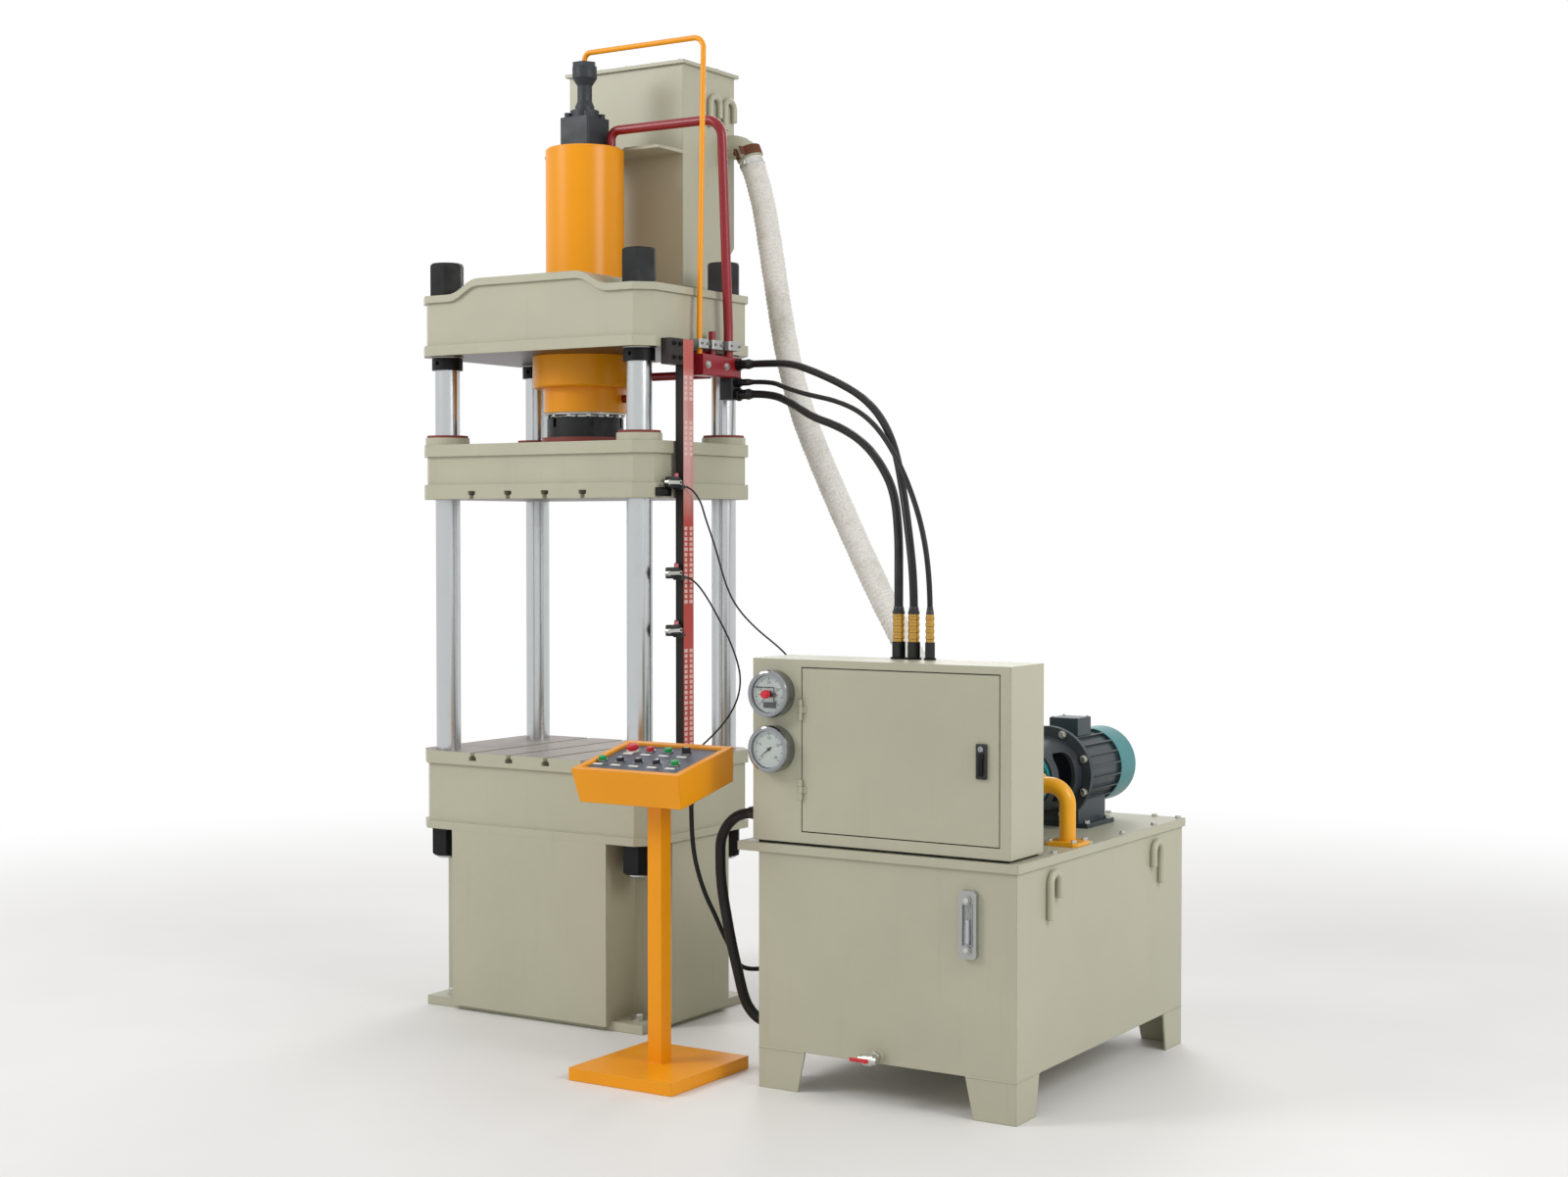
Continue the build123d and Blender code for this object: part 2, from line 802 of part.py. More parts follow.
def build_upper_tank():
    w = upper_tank_half_width
    front = upper_tank_front
    rear = front + upper_tank_depth
    base = plateau_top
    top = upper_tank_top - upper_tank_lid
    t = upper_tank_wall
    side = make_face(Polyline(
        (front, base), (rear - tank_taper_depth, base), (rear, tank_taper_start), (rear, top), (front, top),
        close=True))
    inner = make_face(Polyline(
        (front + t, base + t), (rear - tank_taper_depth - t / 2, base + t), (rear - t, tank_taper_start + t / 2),
        (rear - t, top), (front + t, top), close=True))
    shell = extrude(Plane.YZ * side, w, both=True) - extrude(Plane.YZ * inner, w - t, both=True)
    o = upper_tank_lip
    lid = block(-w - o, w + o, front - o, rear + o, top, upper_tank_top)
    shell = shell + lid
    tie = block(-w, w, barrel_diameter / 6, front, tie_plate_level - tie_plate_height, tie_plate_level)
    hug = drum(0, 0, tie_plate_level - 2 * tie_plate_height, tie_plate_level + 1,
               barrel_diameter + 2 * tie_plate_gap)
    tie = tie - hug - block(-w - 1, w + 1, -w, barrel_diameter / 3, tie_plate_level - 2 * tie_plate_height,
                            tie_plate_level + 1)
    shell = shell + tie
    x = w + lift_bar_diameter / 2 - 1
    for y in upper_hook_spots:
        shell = shell + lift_bar(x, y, upper_hook_level, 1, upper_hook_leg)
    hole = drum_x(elbow_depth, elbow_level, w - 2 * t, w + 1, overflow_diameter - 2 * elbow_wall)
    return shell - hole


def elbow_path():
    x0 = upper_tank_half_width
    x1 = x0 + elbow_stub
    a = math.radians(elbow_turn)
    r = elbow_radius
    mid = (x1 + r * math.sin(a / 2), elbow_depth, elbow_level - r + r * math.cos(a / 2))
    end = (x1 + r * math.sin(a), elbow_depth, elbow_level - r + r * math.cos(a))
    path = Line((x0, elbow_depth, elbow_level), (x1, elbow_depth, elbow_level))
    return path + ThreePointArc((x1, elbow_depth, elbow_level), mid, end), end


def build_overflow_elbow():
    path, end = elbow_path()
    start = (upper_tank_half_width, elbow_depth, elbow_level)
    body = tube_along(path, overflow_diameter, start, (1, 0, 0), overflow_diameter - 2 * elbow_wall)
    collar = drum_x(elbow_depth, elbow_level, start[0], start[0] + elbow_flange_height, elbow_flange_diameter)
    collar = collar - drum_x(elbow_depth, elbow_level, start[0] - 1, start[0] + elbow_flange_height + 1,
                             overflow_diameter - 2 * elbow_wall)
    lean = math.radians(elbow_turn)
    along = Vector(math.cos(lean), 0, -math.sin(lean))
    band_plane = Plane(origin=Vector(*end) - along * (clamp_band_width + 6), z_dir=along)
    band = extrude(band_plane * (Circle(overflow_diameter / 2 + clamp_band) - Circle(overflow_diameter / 2 - 1)),
                   clamp_band_width)
    lug = band_plane * Pos(0, -overflow_diameter / 2 - clamp_band, clamp_band_width / 2) * Box(
        clamp_lug, clamp_lug, clamp_band_width)
    return body + collar + band + lug


def build_pressure_pipe():
    start = (pressure_port_x, pressure_port_y, barrel_top)
    points = [start, (pressure_port_x, pressure_port_y, pressure_pipe_level),
              (pressure_pipe_x + 4, pressure_pipe_reach_y, pressure_pipe_level),
              (pressure_pipe_x, pressure_pipe_y, pressure_pipe_fall),
              (pressure_pipe_x, pressure_pipe_y, manifold_top)]
    path = FilletPolyline(*points, radius=[port_bend, pressure_pipe_bend, pipe_lean_bend])
    return tube_along(path, pressure_pipe_diameter, start, (0, 0, 1))


def build_pilot_pipe():
    start = (0, 0, actuator_top)
    points = [start, (0, 0, pilot_pipe_level), (pilot_corner_x, 0, pilot_pipe_level),
              (pilot_pipe_x, pilot_pipe_y, pressure_pipe_fall),
              (pilot_pipe_x, pilot_pipe_y, manifold_top)]
    path = FilletPolyline(*points, radius=[pilot_rise_bend, pilot_bend, pipe_lean_bend])
    return tube_along(path, pilot_pipe_diameter, start, (0, 0, 1))


def build_pipe_manifold():
    x0 = manifold_inner
    x1 = x0 + manifold_width
    z0 = manifold_top - manifold_height
    body = block(x0, x1, manifold_front, manifold_back, z0, manifold_top)
    body = chamfer(body.edges().filter_by(Axis.Y), 4)
    body = body + drum(return_stub_x, return_stub_y, manifold_top - 5, return_stub_top, return_stub_diameter)
    body = body + block(half_width - hanger_reach, x0 + 10, -hanger_depth / 2, hanger_depth / 2,
                        manifold_top - 16, crown_underside)
    wall = barrel_foot_diameter / 2
    inward = math.sqrt(wall ** 2 - lower_pipe_y ** 2)
    corner = wall + 2 * lower_pipe_bend
    points = [(inward - 4, lower_pipe_y, lower_port_level), (corner, lower_pipe_y, lower_port_level),
              (corner, lower_pipe_y, lower_pipe_level), (x0 + 2, lower_pipe_y, lower_pipe_level)]
    bend = (lower_pipe_level - lower_port_level) / 2 - 1
    path = FilletPolyline(*points, radius=bend)
    pipe = tube_along(path, lower_pipe_diameter, points[0], (1, 0, 0))
    pipe = pipe - drum(0, 0, barrel_underside, crown_underside, barrel_foot_diameter)
    return body + pipe


def build_pipe_clamps():
    clamps = []
    z0 = pipe_clamp_level
    z1 = z0 + pipe_clamp_height
    for x, y, bore in ((pilot_pipe_x, pilot_pipe_y, pilot_pipe_diameter),
                       (return_stub_x, return_stub_y, return_stub_diameter),
                       (pressure_pipe_x, pressure_pipe_y, pressure_pipe_diameter)):
        half = pipe_clamp_half + (bore - pilot_pipe_diameter) / 2
        body = block(half_width, x + bore / 2 + pipe_clamp_cheek, y - half, y + half, z0, z1)
        body = chamfer(body.edges().filter_by(Axis.Z), 5)
        clamps.append(body - drum(x, y, z0 - 1, z1 + 1, bore + 2 * static_gap))
    return Compound(children=clamps)


def build_limit_rail():
    x1 = rail_outer
    y0 = rail_front
    y1 = rail_front + rail_web
    t = rail_sheet
    body = block(rail_inner, x1, y0, y1, rail_foot, rail_top)
    body = body - block(rail_inner - 1, x1 - t, y0 + t, y1 - t, rail_foot - 1, rail_top + 1)
    body = body + block(half_width, x1, y0 - rail_bracket_reach, y0 + t, rail_top - rail_bracket_height, rail_top)
    body = body + block(half_width, rail_inner + t, y0, y1, foot_bracket_low, foot_bracket_high)
    h = junction_side / 2
    return body + block(x1, x1 + junction_side, junction_y - h, junction_y + h, junction_top - junction_height,
                        junction_top)


def switch_face():
    return rail_inner + switch_width


def build_limit_switches():
    switches = []
    x0 = rail_inner
    x1 = switch_face()
    y0 = rail_front - switch_length
    for level in (top_switch_level, middle_switch_level, low_switch_level):
        half = switch_height / 2
        body = block(x0, x1, y0, rail_front, level - half, level + half)
        body = chamfer(body.edges().filter_by(Axis.X), switch_edge)
        pivot = drum_x(lever_pivot_y, level, x1 - 1, x1 + lever_side_gap + lever_thickness + switch_pivot_end,
                       lever_pivot_diameter)
        body = body + pivot
        cap_y = rail_front - switch_cap_inset
        body = body + drum((x0 + x1) / 2, cap_y, level + half, level + half + switch_cap_height, switch_cap_diameter)
        gland_z = level - switch_gland_distance
        body = body + drum_y(wire_x, gland_z, switch_gland_y - switch_gland_length, switch_gland_y,
                             switch_gland_diameter)
        bridge_top = level - switch_bridge_distance
        body = body + block(x1 - switch_bridge_root, wire_x, switch_gland_y - switch_gland_length,
                            switch_gland_y - switch_bridge_setback, bridge_top - switch_bridge_height, bridge_top)
        switches.append(body)
    return Compound(children=switches)


def build_switch_lever(level):
    x0 = switch_face() + lever_side_gap
    x1 = x0 + lever_thickness
    tip_y = lever_pivot_y - lever_length
    arm = block(x0, x1, tip_y, lever_pivot_y, level - lever_height / 2, level + lever_height / 2)
    arm = arm + drum_x(lever_pivot_y, level, x0, x1, lever_height + 4)
    arm = arm + drum_x(tip_y, level, x1 - roller_width - 2, x1, roller_diameter)
    return arm - drum_x(lever_pivot_y, level, x0 - 1, x1 + 1, lever_pivot_diameter + 2 * running_gap)


def build_reservoir():
    x0, x1 = reservoir_left, reservoir_right
    y0, y1 = reservoir_front, reservoir_rear
    t = reservoir_wall
    top = lid_top - lid_plate
    body = block(x0, x1, y0, y1, reservoir_underside, top)
    body = body - block(x0 + t, x1 - t, y0 + t, y1 - t, reservoir_underside + t, top + 1)
    for sx, x in ((1, x0), (-1, x1)):
        for sy, y in ((1, y0), (-1, y1)):
            front = make_face(Polyline(
                (x, reservoir_underside), (x + sx * leg_top_x, reservoir_underside),
                (x + sx * leg_foot_x, 0), (x, 0), close=True))
            sheet = extrude(Plane.XZ * front, leg_sheet / 2, both=True)
            body = body + Pos(0, y + sy * leg_sheet / 2, 0) * sheet
            side = make_face(Polyline(
                (y, reservoir_underside), (y + sy * leg_top_y, reservoir_underside),
                (y + sy * leg_foot_y, 0), (y, 0), close=True))
            flank = extrude(Plane.YZ * side, leg_sheet / 2, both=True)
            body = body + Pos(x + sx * leg_sheet / 2, 0, 0) * flank
    body = body + drum_y(drain_x, drain_level, y0 - drain_reach, y0, drain_diameter)
    hook_x = x1 + lift_bar_diameter / 2 - 1
    rear_hook_y = -unit_hook_y + (y0 + y1)
    body = body + lift_bar(hook_x, unit_hook_y, unit_hook_level, 1)
    body = body + lift_bar(hook_x, rear_hook_y, unit_hook_level, -1)
    port = drum_x(loop_port_y, loop_port_level, x0 - loop_port_length, x0, loop_hose_diameter + 12)
    return body + port


def build_reservoir_lid():
    x0 = reservoir_left - lid_left_overhang
    x1 = reservoir_right + lid_overhang
    y0 = reservoir_front - lid_overhang
    y1 = reservoir_rear + lid_overhang
    g = lid_gap
    body = block(x0, x1, y0, y1, lid_underside, lid_top)
    body = body - block(reservoir_left - g, reservoir_right + g, reservoir_front - g, reservoir_rear + g,
                        lid_underside - 1, lid_top - lid_plate)
    spigot_x, spigot_y = overflow_points()[-1][:2]
    body = body + drum(spigot_x, spigot_y, lid_top, lid_top + overflow_spigot_height, overflow_diameter + 30)
    sx, sy = suction_spot()
    return body - drum(sx, sy, lid_top - lid_plate - 1, lid_top + 1, suction_diameter - 8)


def build_level_gauge():
    x = level_gauge_x
    w = level_gauge_width / 2
    z0 = level_gauge_base
    z1 = z0 + level_gauge_height
    y1 = reservoir_front
    y0 = y1 - level_gauge_depth
    body = block(x - w, x + w, y0, y1, z0, z1)
    body = chamfer(body.edges().filter_by(Axis.Y), 8)
    mid = (z0 + z1) / 2
    body = body - block(x - level_window_width / 2, x + level_window_width / 2, y0 - 1, y0 + level_window_depth,
                        mid - level_window_height / 2, mid + level_window_height / 2)
    for z in (z0 + level_bolt_inset, z1 - level_bolt_inset):
        body = body + drum_y(x, z, y0 - level_bolt_height, y0, level_bolt_diameter)
    return body


def hinge_levels():
    return (door_base + knuckle_inset, door_base + door_height - knuckle_inset - knuckle_height)


def hinge_x():
    return door_left - door_gap / 2


def hinge_y():
    return cabinet_front - knuckle_diameter / 2 - hinge_leaf


def build_control_cabinet():
    x0 = cabinet_left
    x1 = x0 + cabinet_width
    y0 = cabinet_front
    y1 = y0 + cabinet_depth
    t = cabinet_wall
    body = block(x0, x1, y0, y1, cabinet_base, cabinet_top)
    body = body - block(x0 + t, x1 - t, y0 + t, y1 - t, cabinet_base + t, cabinet_top - t)
    g = door_gap
    body = body - block(door_left - g, door_left + door_width + g, y0 - 1, y0 + t + 1, door_base - g,
                        door_base + door_height + g)
    i = plinth_inset
    body = body + block(x0 + i, x1 - i, y0 + i, y1 - i, lid_top, cabinet_base)
    third = knuckle_height / 3
    hx, hy = hinge_x(), hinge_y()
    for z in hinge_levels():
        for k in (0, 2):
            body = body + drum(hx, hy, z + k * third, z + (k + 1) * third, knuckle_diameter)
            body = body + block(hx - hinge_leaf_width, hx, y0 - hinge_leaf, y0, z + k * third,
                                z + (k + 1) * third)
            body = body + block(hx - 2, hx, hy, y0, z + k * third, z + (k + 1) * third)
        body = body + drum(hx, hy, z, z + knuckle_height, hinge_pin_diameter)
    body = body + drum_x(loop_exit_y, loop_exit_level, x0 - loop_fitting_length, x0, loop_hose_diameter + 10)
    body = body + drum_x(wire_entry_y, wire_entry_level, x0 - entry_length, x0, wire_diameter + 8)
    return body + drum_x(cable_entry_y, cable_entry_level, x0 - entry_length, x0, cable_diameter + 10)


def build_cabinet_door():
    x0, x1 = door_left, door_left + door_width
    z0, z1 = door_base, door_base + door_height
    y0 = cabinet_front
    t = door_sheet
    body = block(x0, x1, y0, y0 + door_return, z0, z1)
    body = body - block(x0 + t, x1 - t, y0 + t, y0 + door_return + 1, z0 + t, z1 - t)
    third = knuckle_height / 3
    hx, hy = hinge_x(), hinge_y()
    for z in hinge_levels():
        low = z + third + static_gap * 2
        high = z + 2 * third - static_gap * 2
        knuckle = drum(hx, hy, low, high, knuckle_diameter)
        knuckle = knuckle + block(hx, hx + hinge_leaf_width, y0 - hinge_leaf, y0, low, high)
        knuckle = knuckle + block(hx, hx + 4, hy, y0, low, high)
        knuckle = knuckle - drum(hx, hy, low - 1, high + 1, hinge_pin_diameter + 2 * running_gap)
        body = body + knuckle
    lx = x1 - lock_inset
    lock = block(lx - lock_width / 2, lx + lock_width / 2, y0 - lock_depth, y0, lock_level - lock_height / 2,
                 lock_level + lock_height / 2)
    return body + lock


def build_valve_block():
    x0 = manifold_block_left
    x1 = x0 + manifold_block_width
    y1 = cabinet_front + cabinet_depth - cabinet_wall - 12
    y0 = y1 - manifold_block_depth
    z0 = cabinet_base + cabinet_wall
    z1 = z0 + manifold_block_height
    body = block(x0, x1, y0, y1, z0, z1)
    body = chamfer(body.edges().filter_by(Axis.Z), 3)
    pitch = manifold_block_width / solenoid_count
    for i in range(solenoid_count):
        x = x0 + (i + 0.5) * pitch
        h = solenoid_width / 2
        mid = (y0 + y1) / 2
        body = body + block(x - h, x + h, mid - h, mid + h, z1, z1 + solenoid_height)
        body = body + block(x - h + 4, x + h - 4, mid - h + 4, mid + h - 4, z1 + solenoid_height,
                            z1 + solenoid_height + solenoid_length / 2)
    return body


def build_gauge_cases():
    cases = []
    r = gauge_diameter / 2
    y1 = cabinet_front
    y0 = y1 - gauge_depth
    for level in gauge_levels:
        body = drum_y(gauge_x, level, y0, y1, gauge_diameter)
        body = chamfer(body.edges().filter_by(GeomType.CIRCLE).group_by(Axis.Y)[0], gauge_rim)
        body = body - drum_y(gauge_x, level, y0 - 1, y0 + gauge_dial_recess, gauge_diameter - 4 * gauge_rim)
        cases.append(body)
    return Compound(children=cases)


def build_hose_fittings():
    fittings = []
    for x, d in zip(hose_fitting_xs, hose_diameters):
        z0 = cabinet_top
        nut = extrude(RegularPolygon((d + fitting_extra) / 2, 6, major_radius=False), fitting_height)
        body = Pos(x, hose_fitting_y, z0) * nut
        body = body + drum(x, hose_fitting_y, z0 + fitting_height, z0 + fitting_height + ferrule_height,
                           d + ferrule_extra)
        fittings.append(body)
    x1 = manifold_inner + manifold_width
    low = manifold_top - manifold_height
    block_foot = block(manifold_inner + outlet_block_inset, x1, outlet_block_front, manifold_back, low - outlet_block_height,
                       low)
    fittings.append(chamfer(block_foot.edges().filter_by(Axis.Z), outlet_block_edge))
    for z, d in zip(outlet_levels, hose_diameters):
        body = drum_x(outlet_y, z, x1, x1 + outlet_length, d + ferrule_extra)
        nut = extrude(RegularPolygon((d + fitting_extra) / 2, 6, major_radius=False), outlet_length / 3)
        fittings.append(body + Pos(x1, outlet_y, z) * Rot(0, 90, 0) * nut)
    return Compound(children=fittings)


def build_pump():
    x, z = pump_axis_x, pump_axis_z
    y1 = bell_flange_y - bell_length
    y0 = y1 - pump_length
    body = drum_y(x, z, y0, y1 - pump_flange_thickness, pump_diameter)
    body = chamfer(body.edges().filter_by(GeomType.CIRCLE).group_by(Axis.Y)[0], 14)
    body = body + drum_y(x, z, y1 - pump_flange_thickness, y1, pump_flange_diameter)
    body = body + drum_y(x, z, y0 + pump_length * 0.42, y0 + pump_length * 0.5, pump_diameter + 14)
    mid = suction_spot()[1]
    body = body + drum_x(mid, z, x, x + pump_port_reach, pump_port_diameter)
    body = body + drum(x, mid, z, z + pump_port_reach, pump_port_diameter * 0.8)
    return body - drum_y(x, z, y1 - 30, y1 + 1, shaft_diameter + 2 * running_gap)


def build_bell_housing():
    x, z = pump_axis_x, pump_axis_z
    y_front = bell_flange_y - bell_length
    y_back = bell_flange_y + bell_flange_thickness
    r0 = bell_pump_diameter / 2
    r1 = bell_waist_diameter / 2
    r2 = bell_flange_diameter / 2
    t = bell_wall
    outer = make_face(Polyline(
        (0, y_front), (r0, y_front), (r0, y_front + t), (r0 - 4, y_front + t), (r1, bell_flange_y),
        (r2, bell_flange_y), (r2, y_back), (0, y_back), close=True))
    inner = make_face(Polyline(
        (0, y_front + t), (r0 - 4 - t, y_front + t), (r1 - t, bell_flange_y), (r1 - t, y_back + 1),
        (0, y_back + 1), close=True))
    body = revolve(outer, Axis.Y) - revolve(inner, Axis.Y)
    body = body - Rot(90, 0, 0) * Cylinder(shaft_diameter / 2 + 4, 2 * bell_length + 200)
    window_length = bell_length * 0.52
    half = r1 * math.sin(math.radians(bell_window_angle / 2))
    mid_y = y_front + bell_length * 0.52
    window = Pos(0, mid_y, 0) * Box(2 * r2, window_length, 2 * half)
    window = fillet(window.edges().filter_by(Axis.X), window_length * 0.3)
    return Pos(x, 0, z) * (body - window)


def motor_profile():
    """The motor's cross-section with its cooling fins."""
    face = Circle(motor_diameter / 2 - motor_fin_height)
    for i in range(motor_fin_count):
        fin = Pos(motor_diameter / 4, 0) * Rectangle(motor_diameter / 2, motor_fin_thickness)
        face = face + Rot(0, 0, 360 / motor_fin_count * (i + 0.5)) * fin
    return face


def build_motor_body():
    x, z = pump_axis_x, pump_axis_z
    body = extrude(Plane.XZ * motor_profile(), -(motor_length - 2 * motor_shield))
    body = Pos(0, motor_front + motor_shield, 0) * body
    r = motor_diameter
    body = body + drum_y(0, 0, motor_front, motor_front + motor_shield, r)
    body = body + drum_y(0, 0, motor_rear - motor_shield, motor_rear, r - 2 * fan_cover_sheet - 1)
    body = body - drum_y(0, 0, motor_front + motor_shield, motor_rear - motor_shield, motor_bore)
    body = body - drum_y(0, 0, motor_front - 1, motor_rear + 1, shaft_diameter + 2 * running_gap)
    mid = (motor_front + motor_rear) / 2
    w = motor_foot_width / 2
    half = motor_foot_length / 2
    foot = block(-w, w, mid - half, mid + half, -pump_axis_height, -pump_axis_height + motor_foot_sheet)
    for side in (-1, 1):
        rib = block(side * w * 0.62 - 9, side * w * 0.62 + 9, mid - half, mid + half, -pump_axis_height, -60)
        foot = foot + rib
    foot = foot - drum_y(0, 0, motor_front, motor_rear, motor_diameter - 2 * motor_fin_height - 4)
    s = terminal_box_side / 2
    base = motor_diameter / 2 - motor_fin_height - 6
    box = block(-s, s, mid - s, mid + s, base, base + 6 + motor_fin_height + terminal_box_height)
    return Pos(x, 0, z) * (body + foot + box)


def build_motor_rotor():
    x, z = pump_axis_x, pump_axis_z
    pump_face = bell_flange_y - bell_length
    fan_back = motor_rear + 40
    body = drum_y(0, 0, pump_face - 26, fan_back + fan_depth, shaft_diameter)
    body = body + drum_y(0, 0, motor_front + motor_shield + 8, motor_rear - motor_shield - 8, rotor_diameter)
    hub_mid = bell_flange_y - bell_length * 0.45
    body = body + drum_y(0, 0, hub_mid - coupling_length / 2, hub_mid + coupling_length / 2, coupling_diameter)
    body = body + drum_y(0, 0, fan_back, fan_back + fan_depth, fan_hub_diameter)
    for i in range(fan_blades):
        blade = block(fan_hub_diameter / 2 - 3, fan_diameter / 2, fan_back, fan_back + fan_depth,
                      -fan_blade_thickness / 2, fan_blade_thickness / 2)
        body = body + Rot(0, i * 360 / fan_blades, 0) * blade
    return Pos(x, 0, z) * body


def build_fan_cover():
    x, z = pump_axis_x, pump_axis_z
    t = fan_cover_sheet
    y0 = motor_rear - motor_shield
    y1 = y0 + fan_cover_length
    body = drum_y(0, 0, y0, y1, motor_diameter)
    body = fillet(body.edges().filter_by(GeomType.CIRCLE).group_by(Axis.Y)[-1], 14)
    inner = drum_y(0, 0, y0 - 1, y1 - t, motor_diameter - 2 * t)
    body = body - fillet(inner.edges().filter_by(GeomType.CIRCLE).group_by(Axis.Y)[-1], 14 - t)
    length = fan_slot_outer - fan_slot_inner
    slot = Pos(fan_slot_inner + length / 2, y1, 0) * Box(length, 6 * t, fan_slot_width)
    for i in range(fan_cover_slots):
        body = body - Rot(0, i * 360 / fan_cover_slots, 0) * slot
    return Pos(x, 0, z) * body


def suction_spot():
    """Where the suction pipe meets the reservoir's lid."""
    x = pump_axis_x + pump_port_reach + suction_reach + suction_radius
    y = bell_flange_y - bell_length - pump_length * 0.55
    return x, y


def build_suction_pipe():
    x, y = suction_spot()
    z = pump_axis_z
    start = (pump_axis_x + pump_port_reach, y, z)
    corner = x - suction_radius
    path = Line(start, (corner, y, z))
    a = math.radians(45)
    mid = (corner + suction_radius * math.sin(a), y, z - suction_radius + suction_radius * math.cos(a))
    path = path + ThreePointArc((corner, y, z), mid, (x, y, z - suction_radius))
    foot = lid_top + suction_flange_height
    path = path + Line((x, y, z - suction_radius), (x, y, foot))
    body = tube_along(path, suction_diameter, start, (1, 0, 0), suction_diameter - 8)
    f = suction_flange / 2
    flange = block(x - f, x + f, y - f, y + f, lid_top, foot)
    flange = chamfer(flange.edges().filter_by(Axis.Z), 12)
    flange = flange - drum(x, y, lid_top - 1, foot + 1, suction_diameter - 8)
    nut = drum_x(y, z, start[0], start[0] + 24, suction_diameter + 18)
    nut = nut - drum_x(y, z, start[0] - 1, start[0] + 25, suction_diameter - 8)
    return body + flange + nut


def build_pedestal_stand():
    x, y = pedestal_x, pedestal_y
    foot = block(x - foot_width / 2, x + foot_width / 2, y - foot_depth / 2, y + foot_depth / 2, 0, foot_thickness)
    h = post_side / 2
    top = box_level + 50
    post = block(x - h, x + h, y - h, y + h, foot_thickness, top)
    under = box_frame() * Pos(0, 0, -box_height)
    cutter = under * Pos(0, 0, 250) * Box(900, 900, 500)
    post = post - cutter
    return foot + post


def box_frame():
    """The control box's own frame: origin at the middle of its rim, Z out of its sloping face."""
    return Location((pedestal_x - 8, box_y, box_level)) * Rot(box_tilt, 0, 0)


def build_control_box():
    rim = Rectangle(box_width, box_length)
    body = extrude(rim, -box_height, taper=box_taper)
    pocket_w = box_width - 2 * box_rim
    pocket_l = box_length - 2 * box_rim
    body = body - Pos(0, 0, -panel_recess / 2) * Box(pocket_w, pocket_l, panel_recess)
    cavity = extrude(Rectangle(pocket_w - 2 * panel_ledge, pocket_l - 2 * panel_ledge),
                     -(box_height - box_sheet), taper=box_taper)
    body = body - cavity
    return box_frame() * body + build_cable_gland()


def build_cable_gland():
    x, y = cable_gland_x, cable_gland_y
    base = gland_level()
    return drum(x, y, base, base + cable_gland_length + 30, cable_gland_diameter) - (
        box_frame() * Pos(0, 0, 500 - box_height + box_sheet) * Box(900, 900, 1000))


def gland_level():
    """The lower end of the cable gland under the control box."""
    slope = math.tan(math.radians(box_tilt))
    bottom = box_level - box_height / math.cos(math.radians(box_tilt))
    return bottom + (cable_gland_y - box_y) * slope - cable_gland_length


def button_spots():
    return [(x, y) for y, xs in button_rows for x in xs]


def build_button_panel():
    w = box_width - 2 * box_rim - 1
    d = box_length - 2 * box_rim - 1
    top = -panel_recess + panel_thickness
    body = Pos(0, 0, top - panel_thickness / 2) * Box(w, d, panel_thickness)
    for x, y in button_spots():
        seat = Pos(x, y, top + button_seat_height / 2) * Cylinder(button_seat / 2, button_seat_height)
        body = body + seat
    for x, y in button_spots():
        body = body - Pos(x, y, 0) * Cylinder(button_barrel / 2 + running_gap, 80)
    return box_frame() * body


def build_button(x, y, mushroom, selector):
    top = -panel_recess + panel_thickness + button_seat_height
    cap_base = top + button_lift
    barrel = Pos(x, y, cap_base - button_barrel_length / 2) * Cylinder(button_barrel / 2, button_barrel_length)
    if selector:
        barrel = Pos(x, y, top + 1 - button_barrel_length / 2) * Cylinder(button_barrel / 2, button_barrel_length)
        cap = Pos(x, y, top + 4) * Cylinder(button_cap_diameter / 2, 6)
        cap = cap + Pos(x, y, top + 12) * Box(button_cap_diameter - 2, 8, 14)
        return box_frame() * (barrel + cap)
    if mushroom:
        cap = Pos(x, y, cap_base + 7) * Cylinder(19, 14)
        cap = fillet(cap.edges().group_by(Axis.Z)[-1], 6)
    else:
        cap = Pos(x, y, cap_base + button_cap_height / 2) * Cylinder(button_cap_diameter / 2 - 2, button_cap_height)
        cap = fillet(cap.edges().group_by(Axis.Z)[-1], 2)
    return box_frame() * (barrel + cap)


def overflow_points():
    a = math.radians(elbow_turn)
    _, end = elbow_path()
    second = (end[0] + 119 * math.cos(a), end[1], end[2] - 119 * math.sin(a))
    return [end, second, (443, 487, 2627), (491, 464, 2426), (550, 431, 2229), (629, 392, 2040),
            (735, 346, 1867), (849, 295, 1700), (964, 247, 1533), (1079, 209, 1364), (1197, 186, 1193),
            (1311, 180, 1020), (1400, 180, 834), (1400, 180, lid_top + overflow_spigot_height)]


